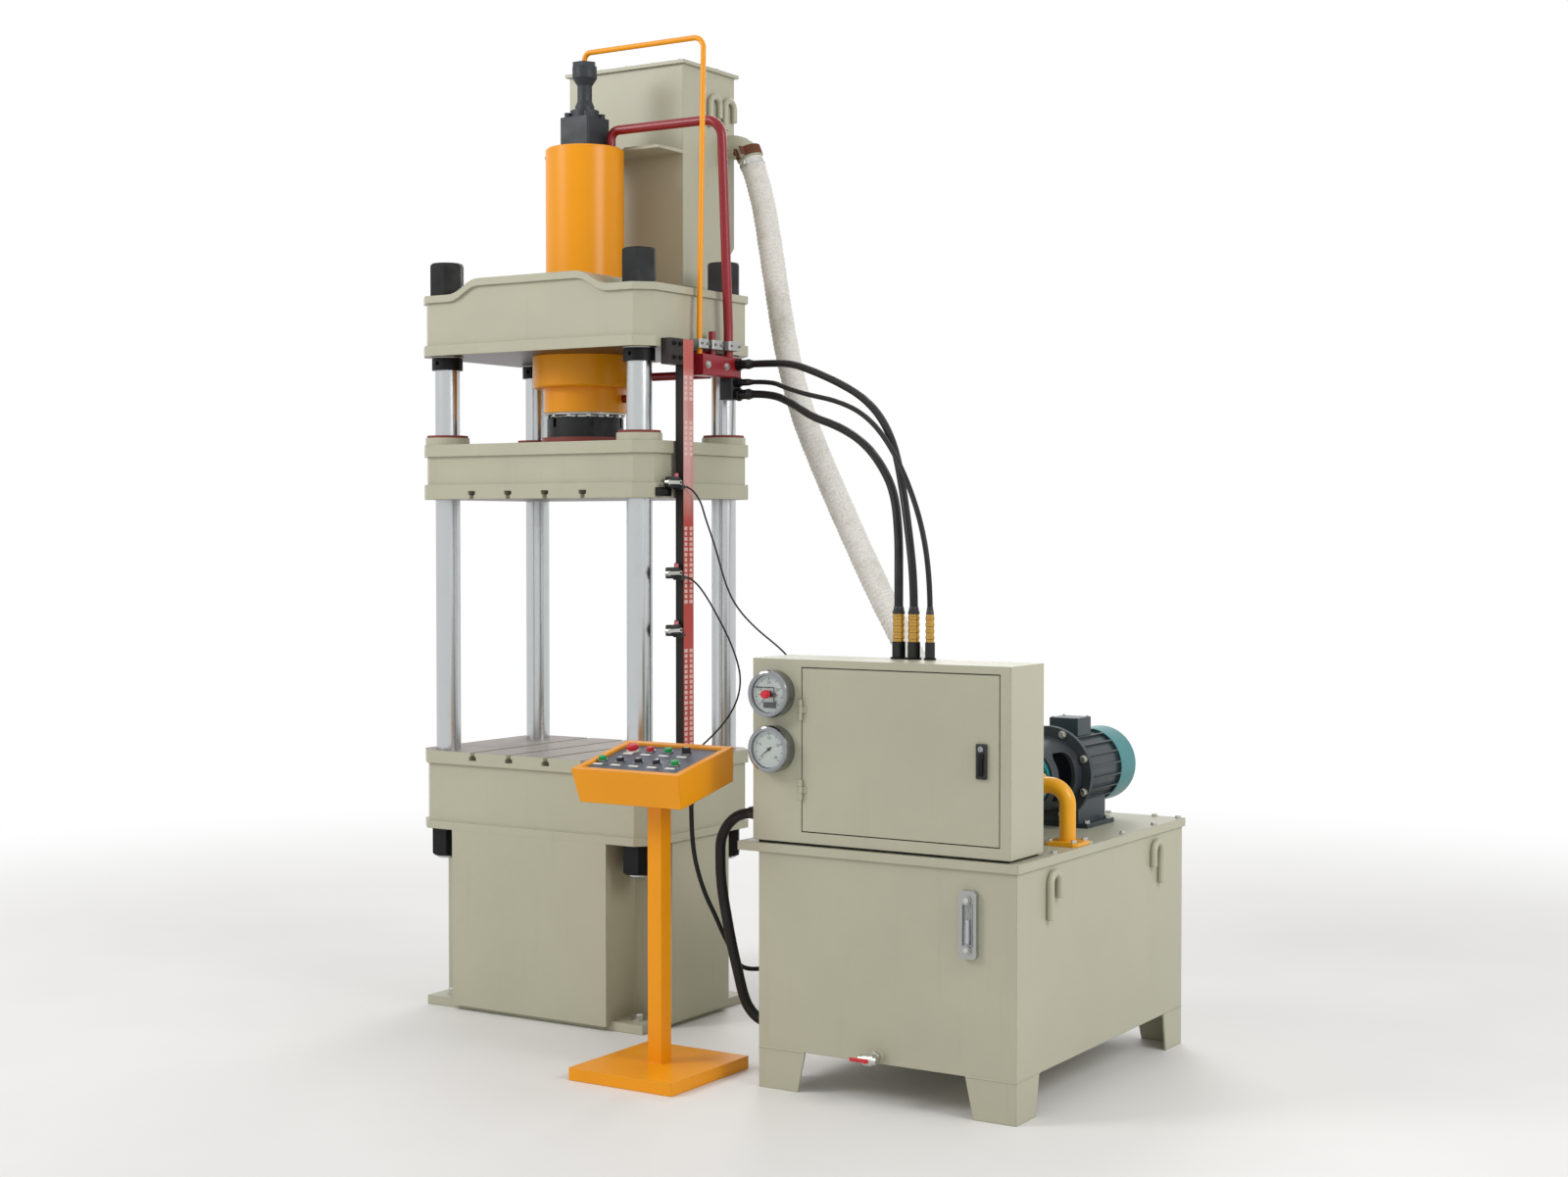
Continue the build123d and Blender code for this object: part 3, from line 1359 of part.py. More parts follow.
def hose_points(i):
    """Route of one pressure hose, from the manifold down to the cabinet's top."""
    start_x = manifold_inner + manifold_width + outlet_length
    first = (start_x, outlet_y, outlet_levels[i])
    last_x = hose_fitting_xs[i]
    last = (last_x, hose_fitting_y, cabinet_top + fitting_height + ferrule_height)
    middles = (
        [(811, 45, 2045), (933, -39, 1996), (1072, -101, 1959), (1201, -172, 1906), (1312, -255, 1835),
         (1408, -341, 1746), (1467, -419, 1624)],
        [(810, 48, 2174), (936, -32, 2141), (1071, -90, 2094), (1197, -158, 2041), (1308, -238, 1971),
         (1398, -318, 1877), (1461, -385, 1755), (1514, -443, 1622)],
        [(796, 29, 2095), (924, -53, 2066), (1065, -116, 2040), (1193, -195, 2003), (1310, -284, 1949),
         (1415, -369, 1874), (1508, -434, 1767), (1575, -468, 1632)],
    )
    out = (start_x + 92, outlet_y, outlet_levels[i])
    down = (last_x, hose_fitting_y, last[2] + 92)
    return [first, out] + middles[i] + [down, last]


loop_points = [
    (cabinet_left - loop_fitting_length, loop_exit_y, loop_exit_level), (1018, loop_exit_y, loop_exit_level),
    (964, -560, 758), (932, -560, 704), (932, -560, 642), (934, -560, 586), (941, -558, 528), (951, -555, 470),
    (961, -551, 410), (971, -545, 352), (981, -536, 297), (987, -526, 246), (997, -513, 197), (1027, -505, 162),
    (1070, loop_port_y, loop_port_level), (reservoir_left - loop_port_length, loop_port_y, loop_port_level),
]
upper_wire_points = [
    (wire_x, switch_gland_y, top_switch_level - switch_gland_distance),
    (wire_x, switch_gland_y + 36, top_switch_level - switch_gland_distance),
    (564, -126, 1729), (566, -103, 1676), (582, -93, 1621), (602, -91, 1566), (621, -92, 1510),
    (642, -94, 1455), (671, -98, 1405), (711, -105, 1363), (758, -116, 1329), (807, -132, 1301),
    (857, -150, 1277), (906, -174, 1255), (950, -208, 1237), (988, -250, 1221), (1021, -296, 1204),
    (1041, -346, 1183), (1044, -398, 1156), (1040, -448, 1127),
    (1060, wire_entry_y, wire_entry_level), (cabinet_left - entry_length, wire_entry_y, wire_entry_level),
]
lower_wire_points = [
    (wire_x, switch_gland_y, middle_switch_level - switch_gland_distance),
    (wire_x, switch_gland_y + 26, middle_switch_level - switch_gland_distance),
    (555, -131, 1457), (573, -114, 1423), (592, -103, 1387), (612, -97, 1350), (633, -93, 1313),
    (653, -91, 1276), (671, -90, 1237), (687, -91, 1198), (698, -94, 1158), (699, -99, 1116),
    (688, -103, 1075), (669, -108, 1038), (643, -112, 1004), (614, -115, 973), (584, -122, 944),
    (556, -136, 915), (wire_x, junction_y, junction_top + 30), (wire_x, junction_y, junction_top),
]
cable_points = [
    (cable_gland_x, cable_gland_y, gland_level()), (cable_gland_x, cable_gland_y, gland_level() - cable_straight_length),
    (870, -614, 670), (878, -600, 600), (892, -580, 530), (911, -554, 465), (926, -536, 410),
    (942, -516, 362), (951, -503, 321), (969, -478, 299), (1001, -433, 295), (1019, -407, 312),
    (1030, -392, 342), (1030, -392, 400), (1029, -394, 460), (1027, -400, 525), (1026, -410, 595),
    (1026, -426, 660), (1028, -443, 715), (1030, -456, 757), (1030, -464, 813), (1044, -468, 838),
    (1070, cable_entry_y, cable_entry_level),
    (cabinet_left - entry_length, cable_entry_y, cable_entry_level),
]

button_parts = {}
button_names = ("button_advance", "button_press", "button_hold", "button_return", "button_eject",
                "button_stop", "button_motor_off", "button_motor_on", "selector_mode")
for name, (bx, by) in zip(button_names, button_spots()):
    button_parts[name] = build_button(bx, by, name == "button_stop", name == "selector_mode")

parts = {
    "base_frame": build_base_frame(),
    "columns": build_columns(),
    "column_nuts": build_column_nuts(),
    "beam_collars": build_beam_collars(),
    "upper_beam": build_upper_beam(),
    "cylinder_barrel": build_cylinder_barrel(),
    "cylinder_lock_ring": build_lock_ring(),
    "cylinder_gland": build_gland(),
    "piston_rod": build_piston_rod(),
    "rod_ring": build_rod_ring(),
    "slider": build_slider(),
    "guide_bushes": build_guide_bushes(),
    "striker": build_striker(),
    "prefill_valve": build_prefill_valve(),
    "prefill_actuator": build_prefill_actuator(),
    "upper_tank": build_upper_tank(),
    "overflow_elbow": build_overflow_elbow(),
    "pressure_pipe": build_pressure_pipe(),
    "pilot_pipe": build_pilot_pipe(),
    "pipe_manifold": build_pipe_manifold(),
    "pipe_clamps": build_pipe_clamps(),
    "limit_rail": build_limit_rail(),
    "limit_switches": build_limit_switches(),
    "switch_lever_top": build_switch_lever(top_switch_level),
    "switch_lever_middle": build_switch_lever(middle_switch_level),
    "switch_lever_low": build_switch_lever(low_switch_level),
    "reservoir": build_reservoir(),
    "reservoir_lid": build_reservoir_lid(),
    "level_gauge": build_level_gauge(),
    "control_cabinet": build_control_cabinet(),
    "cabinet_door": build_cabinet_door(),
    "valve_block": build_valve_block(),
    "gauge_cases": build_gauge_cases(),
    "hose_fittings": build_hose_fittings(),
    "pump": build_pump(),
    "bell_housing": build_bell_housing(),
    "motor_body": build_motor_body(),
    "motor_rotor": build_motor_rotor(),
    "fan_cover": build_fan_cover(),
    "suction_pipe": build_suction_pipe(),
    "pedestal_stand": build_pedestal_stand(),
    "control_box": build_control_box(),
    "button_panel": build_button_panel(),
    "overflow_hose": cord("overflow_hose", overflow_points(), overflow_diameter),
    "pressure_hose_left": cord("pressure_hose_left", hose_points(0), hose_diameters[0]),
    "pressure_hose_middle": cord("pressure_hose_middle", hose_points(1), hose_diameters[1]),
    "pressure_hose_right": cord("pressure_hose_right", hose_points(2), hose_diameters[2]),
    "loop_hose": cord("loop_hose", loop_points, loop_hose_diameter),
    "upper_switch_wire": cord("upper_switch_wire", upper_wire_points, wire_diameter),
    "lower_switch_wire": cord("lower_switch_wire", lower_wire_points, wire_diameter),
    "pedestal_cable": cord("pedestal_cable", cable_points, cable_diameter),
}
parts.update(button_parts)

os.makedirs("parts", exist_ok=True)
for name, shape in parts.items():
    export_step(shape, "parts/" + name + ".step")
    box = shape.bounding_box()
    print(name, len(shape.solids()), [round(v) for v in (*box.min, *box.max)])
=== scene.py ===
"""Finishes, hoses, dials, bolts and the studio for a four-column hydraulic press."""
import math
from functools import partial

import bmesh
import bpy
from bpy.props import FloatProperty, FloatVectorProperty, IntProperty, PointerProperty
from mathutils import Matrix, Vector


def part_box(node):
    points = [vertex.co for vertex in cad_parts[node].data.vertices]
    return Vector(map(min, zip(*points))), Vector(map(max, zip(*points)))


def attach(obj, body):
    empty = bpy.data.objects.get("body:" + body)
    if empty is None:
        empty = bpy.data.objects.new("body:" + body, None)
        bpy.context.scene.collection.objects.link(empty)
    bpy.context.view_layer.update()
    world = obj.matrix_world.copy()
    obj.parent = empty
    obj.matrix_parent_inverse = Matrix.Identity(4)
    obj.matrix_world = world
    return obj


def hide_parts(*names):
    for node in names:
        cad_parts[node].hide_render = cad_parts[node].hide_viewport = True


bl_info = {
    "name": "Four-column press dressing",
    "version": (1, 0, 0),
    "blender": (4, 5, 0),
    "location": "3D View > Sidebar > Press",
    "description": "Finishes a four-column hydraulic press, its hoses, dials and small parts, and its studio",
    "category": "Object",
}

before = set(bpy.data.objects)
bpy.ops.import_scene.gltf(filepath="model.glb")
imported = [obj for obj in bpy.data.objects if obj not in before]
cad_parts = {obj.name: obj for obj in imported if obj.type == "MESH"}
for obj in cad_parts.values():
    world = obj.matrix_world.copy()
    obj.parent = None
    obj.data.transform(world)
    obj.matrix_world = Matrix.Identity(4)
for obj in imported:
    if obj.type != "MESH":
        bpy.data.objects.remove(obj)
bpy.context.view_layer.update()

MM = 0.001


def linear(hex_colour):
    """A linear colour from an sRGB hex value."""
    parts = [int(hex_colour[i:i + 2], 16) / 255 for i in (1, 3, 5)]
    return tuple(c / 12.92 if c <= 0.04045 else ((c + 0.055) / 1.055) ** 2.4 for c in parts)


def colour_setting(name, description, hex_colour):
    """A colour that a user may change, with its default as an sRGB hex value."""
    return FloatVectorProperty(name=name, description=description, subtype="COLOR", size=3, min=0, max=1,
                               default=linear(hex_colour))


def length_setting(name, description, default):
    """A length in metres that a user may change."""
    return FloatProperty(name=name, description=description, default=default, min=0, unit="LENGTH")


class PressFinish(bpy.types.PropertyGroup):
    """Colours of the paints, plastics and hoses."""

    enamel: colour_setting("Pebble enamel", "Paint on the beams, tanks and cabinet", "#B1AF99")
    orange: colour_setting("Orange enamel", "Paint on the cylinder and the pedestal", "#EE9A00")
    maroon: colour_setting("Maroon enamel", "Paint on the pressure pipe and the manifold", "#8A1420")
    scale_red: colour_setting("Rail red", "Paint on the rail's scale face", "#B43E32")
    teal: colour_setting("Teal enamel", "Paint on the pump and the fan cover", "#157A7C")
    sleeve: colour_setting("Hose sleeve", "Woven sleeve of the overflow hose", "#E4E1DA")


class PressSizes(bpy.types.PropertyGroup):
    """Sizes of the small parts that are added round the frame."""

    ridge_pitch: length_setting("Ridge pitch", "Distance between ridges of the overflow hose", 17 * MM)
    ridge_height: length_setting("Ridge height", "How far a ridge of the overflow hose stands up", 2.6 * MM)
    scale_step: length_setting("Scale step", "Distance between marks on the rail", 17 * MM)
    needle_length: length_setting("Needle length", "Length of a gauge needle from its pivot", 40 * MM)
    bolt_size: length_setting("Bolt size", "Across the flats of the common bolt heads", 19 * MM)
    weld_width: length_setting("Weld width", "Width of the weld beads", 6 * MM)
    dial_marks: IntProperty(name="Dial marks", description="Marks round a gauge dial", default=41, min=5,
                            max=81)


class PressStudio(bpy.types.PropertyGroup):
    """The camera, the floor and the light."""

    camera_place: FloatVectorProperty(name="Camera place", description="Where the camera stands", size=3,
                                      subtype="TRANSLATION", default=(4.649, -6.103, 1.632))
    camera_turn: FloatProperty(name="Camera turn", description="How far the camera turns left from +Y",
                               subtype="ANGLE", default=math.radians(32.2))
    camera_tilt: FloatProperty(name="Camera tilt", description="How far the camera looks down",
                               subtype="ANGLE", default=math.radians(1.5))
    lens: FloatProperty(name="Lens", description="Focal length in millimetres", default=51.0, min=10)
    world_level: FloatProperty(name="Sky level", description="Strength of the even light all round",
                               default=0.62, min=0)
    floor_reach: length_setting("Floor reach", "Half the width of the floor", 14.0)


# Materials

def per_metre(millimetres):
    """How often a pattern of this real size repeats in a metre."""
    return 1000.0 / millimetres


def noise(millimetres, detail, roughness=0.5):
    """Socket values of a noise whose pattern has this real size."""
    return {"Scale": per_metre(millimetres), "Detail": detail, "Roughness": roughness}


def span(from_min, from_max, to_min, to_max):
    """Socket values of a map range."""
    return {"From Min": from_min, "From Max": from_max, "To Min": to_min, "To Max": to_max}


def join(node, links):
    """Joins a node's sockets to outputs of earlier nodes. A node alone stands for its first output, and an
    output alone goes to the first socket."""
    for socket, source in links.items() if isinstance(links, dict) else [(0, links)]:
        origin, output = source if isinstance(source, tuple) else (source, 0)
        node.id_data.links.new(origin.outputs[output], node.inputs[socket])


def add_node(tree, kind, values=None, links=None, **settings):
    """Adds a shader node, sets its sockets and joins its inputs to outputs of earlier nodes."""
    node = tree.nodes.new("ShaderNode" + kind)
    for name, value in settings.items():
        setattr(node, name, value)
    for socket, value in (values or {}).items():
        node.inputs[socket].default_value = value
    if links:
        join(node, links)
    return node


def fresh_material(name, roughness, metallic=0.0, **sockets):
    """An empty material, what adds nodes to it, its shader joined to the output, and its coordinates."""
    material = bpy.data.materials.new(name)
    material.use_nodes = True
    material.node_tree.nodes.clear()
    node = partial(add_node, material.node_tree)
    values = {"Roughness": roughness, "Metallic": metallic}
    values.update({key.replace("_", " "): value for key, value in sockets.items()})
    shader = node("BsdfPrincipled", values)
    node("OutputMaterial", links=shader)
    return material, node, shader, node("TexCoord")


def rgba(colour, level=1.0):
    """A colour for a socket, from linear parts or a hex value, made lighter or darker by level."""
    parts = linear(colour) if isinstance(colour, str) else colour
    return tuple(min(1.0, c * level) for c in parts[:3]) + (1.0,)


def enamel(name, colour, roughness, grime, worn="#6E6A62", wave=0.5, bare_and_shade=None, coat=0.12, shine=0.42):
    """Alkyd enamel, sprayed on plate and air dried. It gives soft broad patches, faint runs down the walls,
    an orange-peel skin, rubbed edges and a little workshop grime. bare_and_shade names the levels and the
    direction of faces that weren't painted, their two colours and how metallic they are; on the downward
    faces of the slider and the beam these colours are dark as painted shade."""
    material, node, shader, place = fresh_material(
        name, roughness, Coat_Weight=coat, Coat_Roughness=0.22, Specular_IOR_Level=shine)
    here = (place, "Object")
    # Broad patches as large as a plate, and streaks that run down over half a metre
    patch = node("TexNoise", noise(380, 5.0, 0.6), here)
    drawn = node("Mapping", {"Scale": (1.0, 1.0, 0.09)}, here)
    streak = node("TexNoise", noise(46, 4.0, 0.65), drawn)
    tone = node("MapRange", span(0.3, 0.7, 0.0, 1.0), patch)
    base = node("Mix", {6: rgba(colour, 0.95), 7: rgba(colour, 1.03)}, tone, data_type="RGBA")
    runs = node("MapRange", span(0.56, 0.86, 0.0, grime), streak)
    soiled = rgba([c * k for c, k in zip(rgba(colour), (0.62, 0.56, 0.47))])
    dirty = node("Mix", {7: soiled}, {0: runs, 6: (base, 2)}, data_type="RGBA")
    # Rubbed edges, found where a rounded normal leaves the flat one
    soft = node("Bevel", {"Radius": 3.5 * MM}, samples=4)
    flat = node("NewGeometry")
    spread = node("VectorMath", links={0: soft, 1: (flat, "Normal")}, operation="DOT_PRODUCT")
    edge = node("MapRange", span(0.99, 0.86, 0.0, 0.75), (spread, "Value"))
    chips = node("TexNoise", noise(22, 5.0, 0.7), here)
    rubbed = node("MapRange", span(0.5, 0.64, 0.06, 0.75), chips)
    wear = node("Math", links={0: edge, 1: rubbed}, operation="MULTIPLY")
    skin = node("Mix", {7: rgba(worn)}, {0: wear, 6: (dirty, 2)}, data_type="RGBA")
    gloss = node("MapRange", span(0.3, 0.75, roughness * 0.9, min(1.0, roughness * 1.2)), patch)
    rough, rough_socket = gloss, 0
    if bare_and_shade:
        skin, rough, metal = bare_face(node, place, skin, gloss, bare_and_shade)
        rough_socket = 2
        join(shader, {"Metallic": metal})
    join(shader, {"Base Color": (skin, 2), "Roughness": (rough, rough_socket)})
    # Orange peel is 2 mm wide in truth and drawn 9 mm wide, and the plate's own waves are 160 mm
    peel = node("TexNoise", noise(9, 2.0), here)
    buckle = node("TexNoise", noise(160, 1.0), here)
    first = node("Bump", {"Strength": 0.12 * wave, "Distance": 1 * MM}, {"Height": peel, "Normal": soft})
    second = node("Bump", {"Strength": 0.3 * wave, "Distance": 4 * MM}, {"Height": buckle, "Normal": first})
    join(shader, {"Normal": second})
    return material


def bare_face(node, place, skin, gloss, bare_and_shade):
    """Oiled steel or dull primer on the faces of one direction between two levels of a painted casting. Where
    those faces point down, under the slider and the beam, their dark colours are also painted shade.
    """
    low, high, direction, dark, light, metallic = bare_and_shade
    levels = node("SeparateXYZ", links=(place, "Object"))
    facing = node("SeparateXYZ", links=(place, "Normal"))
    above = node("Math", {1: low}, (levels, 2), operation="GREATER_THAN")
    under = node("Math", {1: high}, (levels, 2), operation="LESS_THAN")
    turned = node("Math", {1: direction}, (facing, 2), operation="MULTIPLY")
    flat = node("Math", {1: 0.9}, turned, operation="GREATER_THAN")
    between = node("Math", links={0: above, 1: under}, operation="MULTIPLY")
    mask = node("Math", links={0: between, 1: flat}, operation="MULTIPLY")
    # Oil stains a hand wide on ground steel
    stain = node("TexNoise", noise(95, 6.0, 0.62), (place, "Object"))
    steel = node("Mix", {6: rgba(dark), 7: rgba(light)}, stain, data_type="RGBA")
    colour = node("Mix", links={0: mask, 6: (skin, 2), 7: (steel, 2)}, data_type="RGBA")
    rough = node("Mix", {7: (0.42, 0.42, 0.42, 1.0)}, {0: mask, 6: gloss}, data_type="RGBA")
    metal = node("Math", {1: metallic}, mask, operation="MULTIPLY")
    return colour, rough, metal


def ground_metal(name, colour, roughness, grain_mm, stretch, smear, dark="#3A3630", contrast=0.1, relief=0.06,
                 uneven=(0.75, 1.6)):
    """Bare metal. The grain is drawn out along the way it was turned, ground or polished, with smears of
    oil that dull it in places."""
    material, node, shader, place = fresh_material(name, roughness, 1.0)
    here = (place, "Object")
    drawn = node("Mapping", {"Scale": stretch}, here)
    grain = node("TexNoise", noise(grain_mm, 4.0, 0.7), drawn)
    film = node("TexNoise", noise(70, 5.0, 0.6), here)
    oily = node("MapRange", span(0.5, 0.75, 0.0, smear), film)
    bright = node("Mix", {6: rgba(colour, 1 - contrast), 7: rgba(colour, 1 + contrast)}, grain,
                  data_type="RGBA")
    final = node("Mix", {7: rgba(dark)}, {0: oily, 6: (bright, 2)}, data_type="RGBA")
    dull = node("MapRange", span(0.3, 0.75, roughness * uneven[0], min(1.0, roughness * uneven[1])), film)
    bump = node("Bump", {"Strength": relief, "Distance": 0.3 * MM}, {"Height": grain})
    join(shader, {"Base Color": (final, 2), "Roughness": dull, "Normal": bump})
    return material


def moulded(name, colour, roughness, grain_mm, depth=0.12, dust=0.25, **sockets):
    """Moulded plastic, rubber or rough casting. A fine even grain, dust in broad patches and a softened
    gloss tell it from paint."""
    material, node, shader, place = fresh_material(name, roughness, **sockets)
    here = (place, "Object")
    grain = node("TexNoise", noise(grain_mm, 5.0, 0.7), here)
    patch = node("TexNoise", noise(60, 3.0), here)
    dusty = node("MapRange", span(0.45, 0.8, 0.0, dust), patch)
    tone = node("Mix", {6: rgba(colour, 0.85), 7: rgba(colour, 1.15)}, grain, data_type="RGBA")
    grey = rgba([0.85 * c + 0.012 for c in rgba(colour)])
    final = node("Mix", {7: grey}, {0: dusty, 6: (tone, 2)}, data_type="RGBA")
    gloss = node("MapRange", span(0.3, 0.7, roughness * 0.85, min(1.0, roughness * 1.3)), patch)
    bump = node("Bump", {"Strength": depth, "Distance": 0.6 * MM}, {"Height": grain})
    join(shader, {"Base Color": (final, 2), "Roughness": gloss, "Normal": bump})
    return material


def rail_paint(name, red):
    """Red enamel on the rail's scale face and old black primer on its other faces, both rolled on by hand,
    so the red fades to a chalky pink in long patches."""
    material, node, shader, place = fresh_material(name, 0.5, Specular_IOR_Level=0.3)
    facing = node("SeparateXYZ", links=(place, "Normal"))
    spot = node("SeparateXYZ", links=(place, "Object"))
    outward = node("Math", {1: 0.5}, facing, operation="GREATER_THAN")
    own = node("Math", {1: -0.1745}, (spot, 1), operation="GREATER_THAN")
    near = node("Math", {1: 0.531}, spot, operation="LESS_THAN")
    strip = node("Math", links={0: own, 1: near}, operation="MULTIPLY")
    side = node("Math", links={0: strip, 1: outward}, operation="MULTIPLY")
    drawn = node("Mapping", {"Scale": (1.0, 1.0, 0.3)}, (place, "Object"))
    fade = node("TexNoise", noise(90, 5.0, 0.6), drawn)
    patches = node("MapRange", span(0.38, 0.7, 0.0, 0.55), fade)
    # Above the slider the sun and the oil have bleached the red
    upper = node("MapRange", span(1.66, 1.76, 0.05, 1.0), (spot, 2))
    near_top = node("MapRange", span(2.13, 2.16, 1.0, 0.35), (spot, 2))
    height = node("Math", links={0: upper, 1: near_top}, operation="MULTIPLY")
    bleach = node("Math", {1: 0.55}, height, operation="MULTIPLY")
    both = node("Math", links={0: patches, 1: height}, operation="MULTIPLY")
    chalk = node("Math", links={0: bleach, 1: both}, operation="ADD")
    face = node("Mix", {6: rgba(red), 7: rgba("#D0A29D")}, chalk, data_type="RGBA")
    flank = node("Mix", {6: rgba("#171312"), 7: rgba("#2C2422")}, fade, data_type="RGBA")
    final = node("Mix", links={0: side, 6: (flank, 2), 7: (face, 2)}, data_type="RGBA")
    brush = node("TexNoise", noise(6, 3.0), drawn)
    bump = node("Bump", {"Strength": 0.2, "Distance": 0.6 * MM}, {"Height": brush})
    join(shader, {"Base Color": (final, 2), "Normal": bump})
    return material


def parted(name, axis, level, low, high, metal_low, metal_high, roughness, beyond=None):
    """One casting or turned part in two finishes, parted at a level along an axis and, where asked, only
    beyond a distance along X."""
    material, node, shader, place = fresh_material(name, roughness)
    levels = node("SeparateXYZ", links=(place, "Object"))
    mask = node("Math", {1: level}, {0: (levels, axis)}, operation="GREATER_THAN")
    if beyond is not None:
        right = node("Math", {1: beyond}, levels, operation="GREATER_THAN")
        mask = node("Math", links={0: mask, 1: right}, operation="MULTIPLY")
    mottle = node("TexNoise", noise(18, 5.0, 0.65), (place, "Object"))
    below, over = (node("Mix", {6: rgba(colour, 0.8), 7: rgba(colour, 1.2)}, mottle,
                        data_type="RGBA") for colour in (low, high))
    final = node("Mix", links={0: mask, 6: (below, 2), 7: (over, 2)}, data_type="RGBA")
    metal = node("MapRange", {"To Min": metal_low, "To Max": metal_high}, mask)
    gloss = node("MapRange", span(0.3, 0.7, roughness * 0.8, min(1.0, roughness * 1.3)), mottle)
    bump = node("Bump", {"Strength": 0.15, "Distance": 0.5 * MM}, {"Height": mottle})
    join(shader, {"Base Color": (final, 2), "Metallic": metal, "Roughness": gloss, "Normal": bump})
    return material


def woven_sleeve(name, colour):
    """Glass-fibre cloth wrapped round a suction hose. The weave is 3 mm and drawn 7 mm, so that it still
    shows, and handling leaves it grey in patches."""
    material, node, shader, place = fresh_material(name, 0.78, Sheen_Weight=0.3)
    here = (place, "Object")
    weave = node("TexVoronoi", {"Scale": per_metre(7)}, here)
    soil = node("TexNoise", noise(110, 6.0, 0.65), here)
    thread = node("Mix", {6: rgba(colour, 1.06), 7: rgba(colour, 0.78)}, weave, data_type="RGBA")
    grey = node("MapRange", span(0.5, 0.8, 0.0, 0.6), soil)
    final = node("Mix", {7: rgba("#A29A8A")}, {0: grey, 6: (thread, 2)}, data_type="RGBA")
    bump = node("Bump", {"Strength": 0.5, "Distance": 1.2 * MM}, {"Height": weave})
    join(shader, {"Base Color": (final, 2), "Normal": bump})
    return material


def clear_pane(name, colour):
    """Clear float glass or acrylic, polished, with faint wiping marks."""
    material, node, shader, place = fresh_material(name, 0.02, Transmission_Weight=1.0, IOR=1.46)
    wipe = node("TexNoise", noise(14, 3.0), (place, "Object"))
    haze = node("MapRange", span(0.5, 0.8, 0.015, 0.09), wipe)
    shader.inputs["Base Color"].default_value = rgba(colour)
    join(shader, {"Roughness": haze})
    return material


finishes = {}


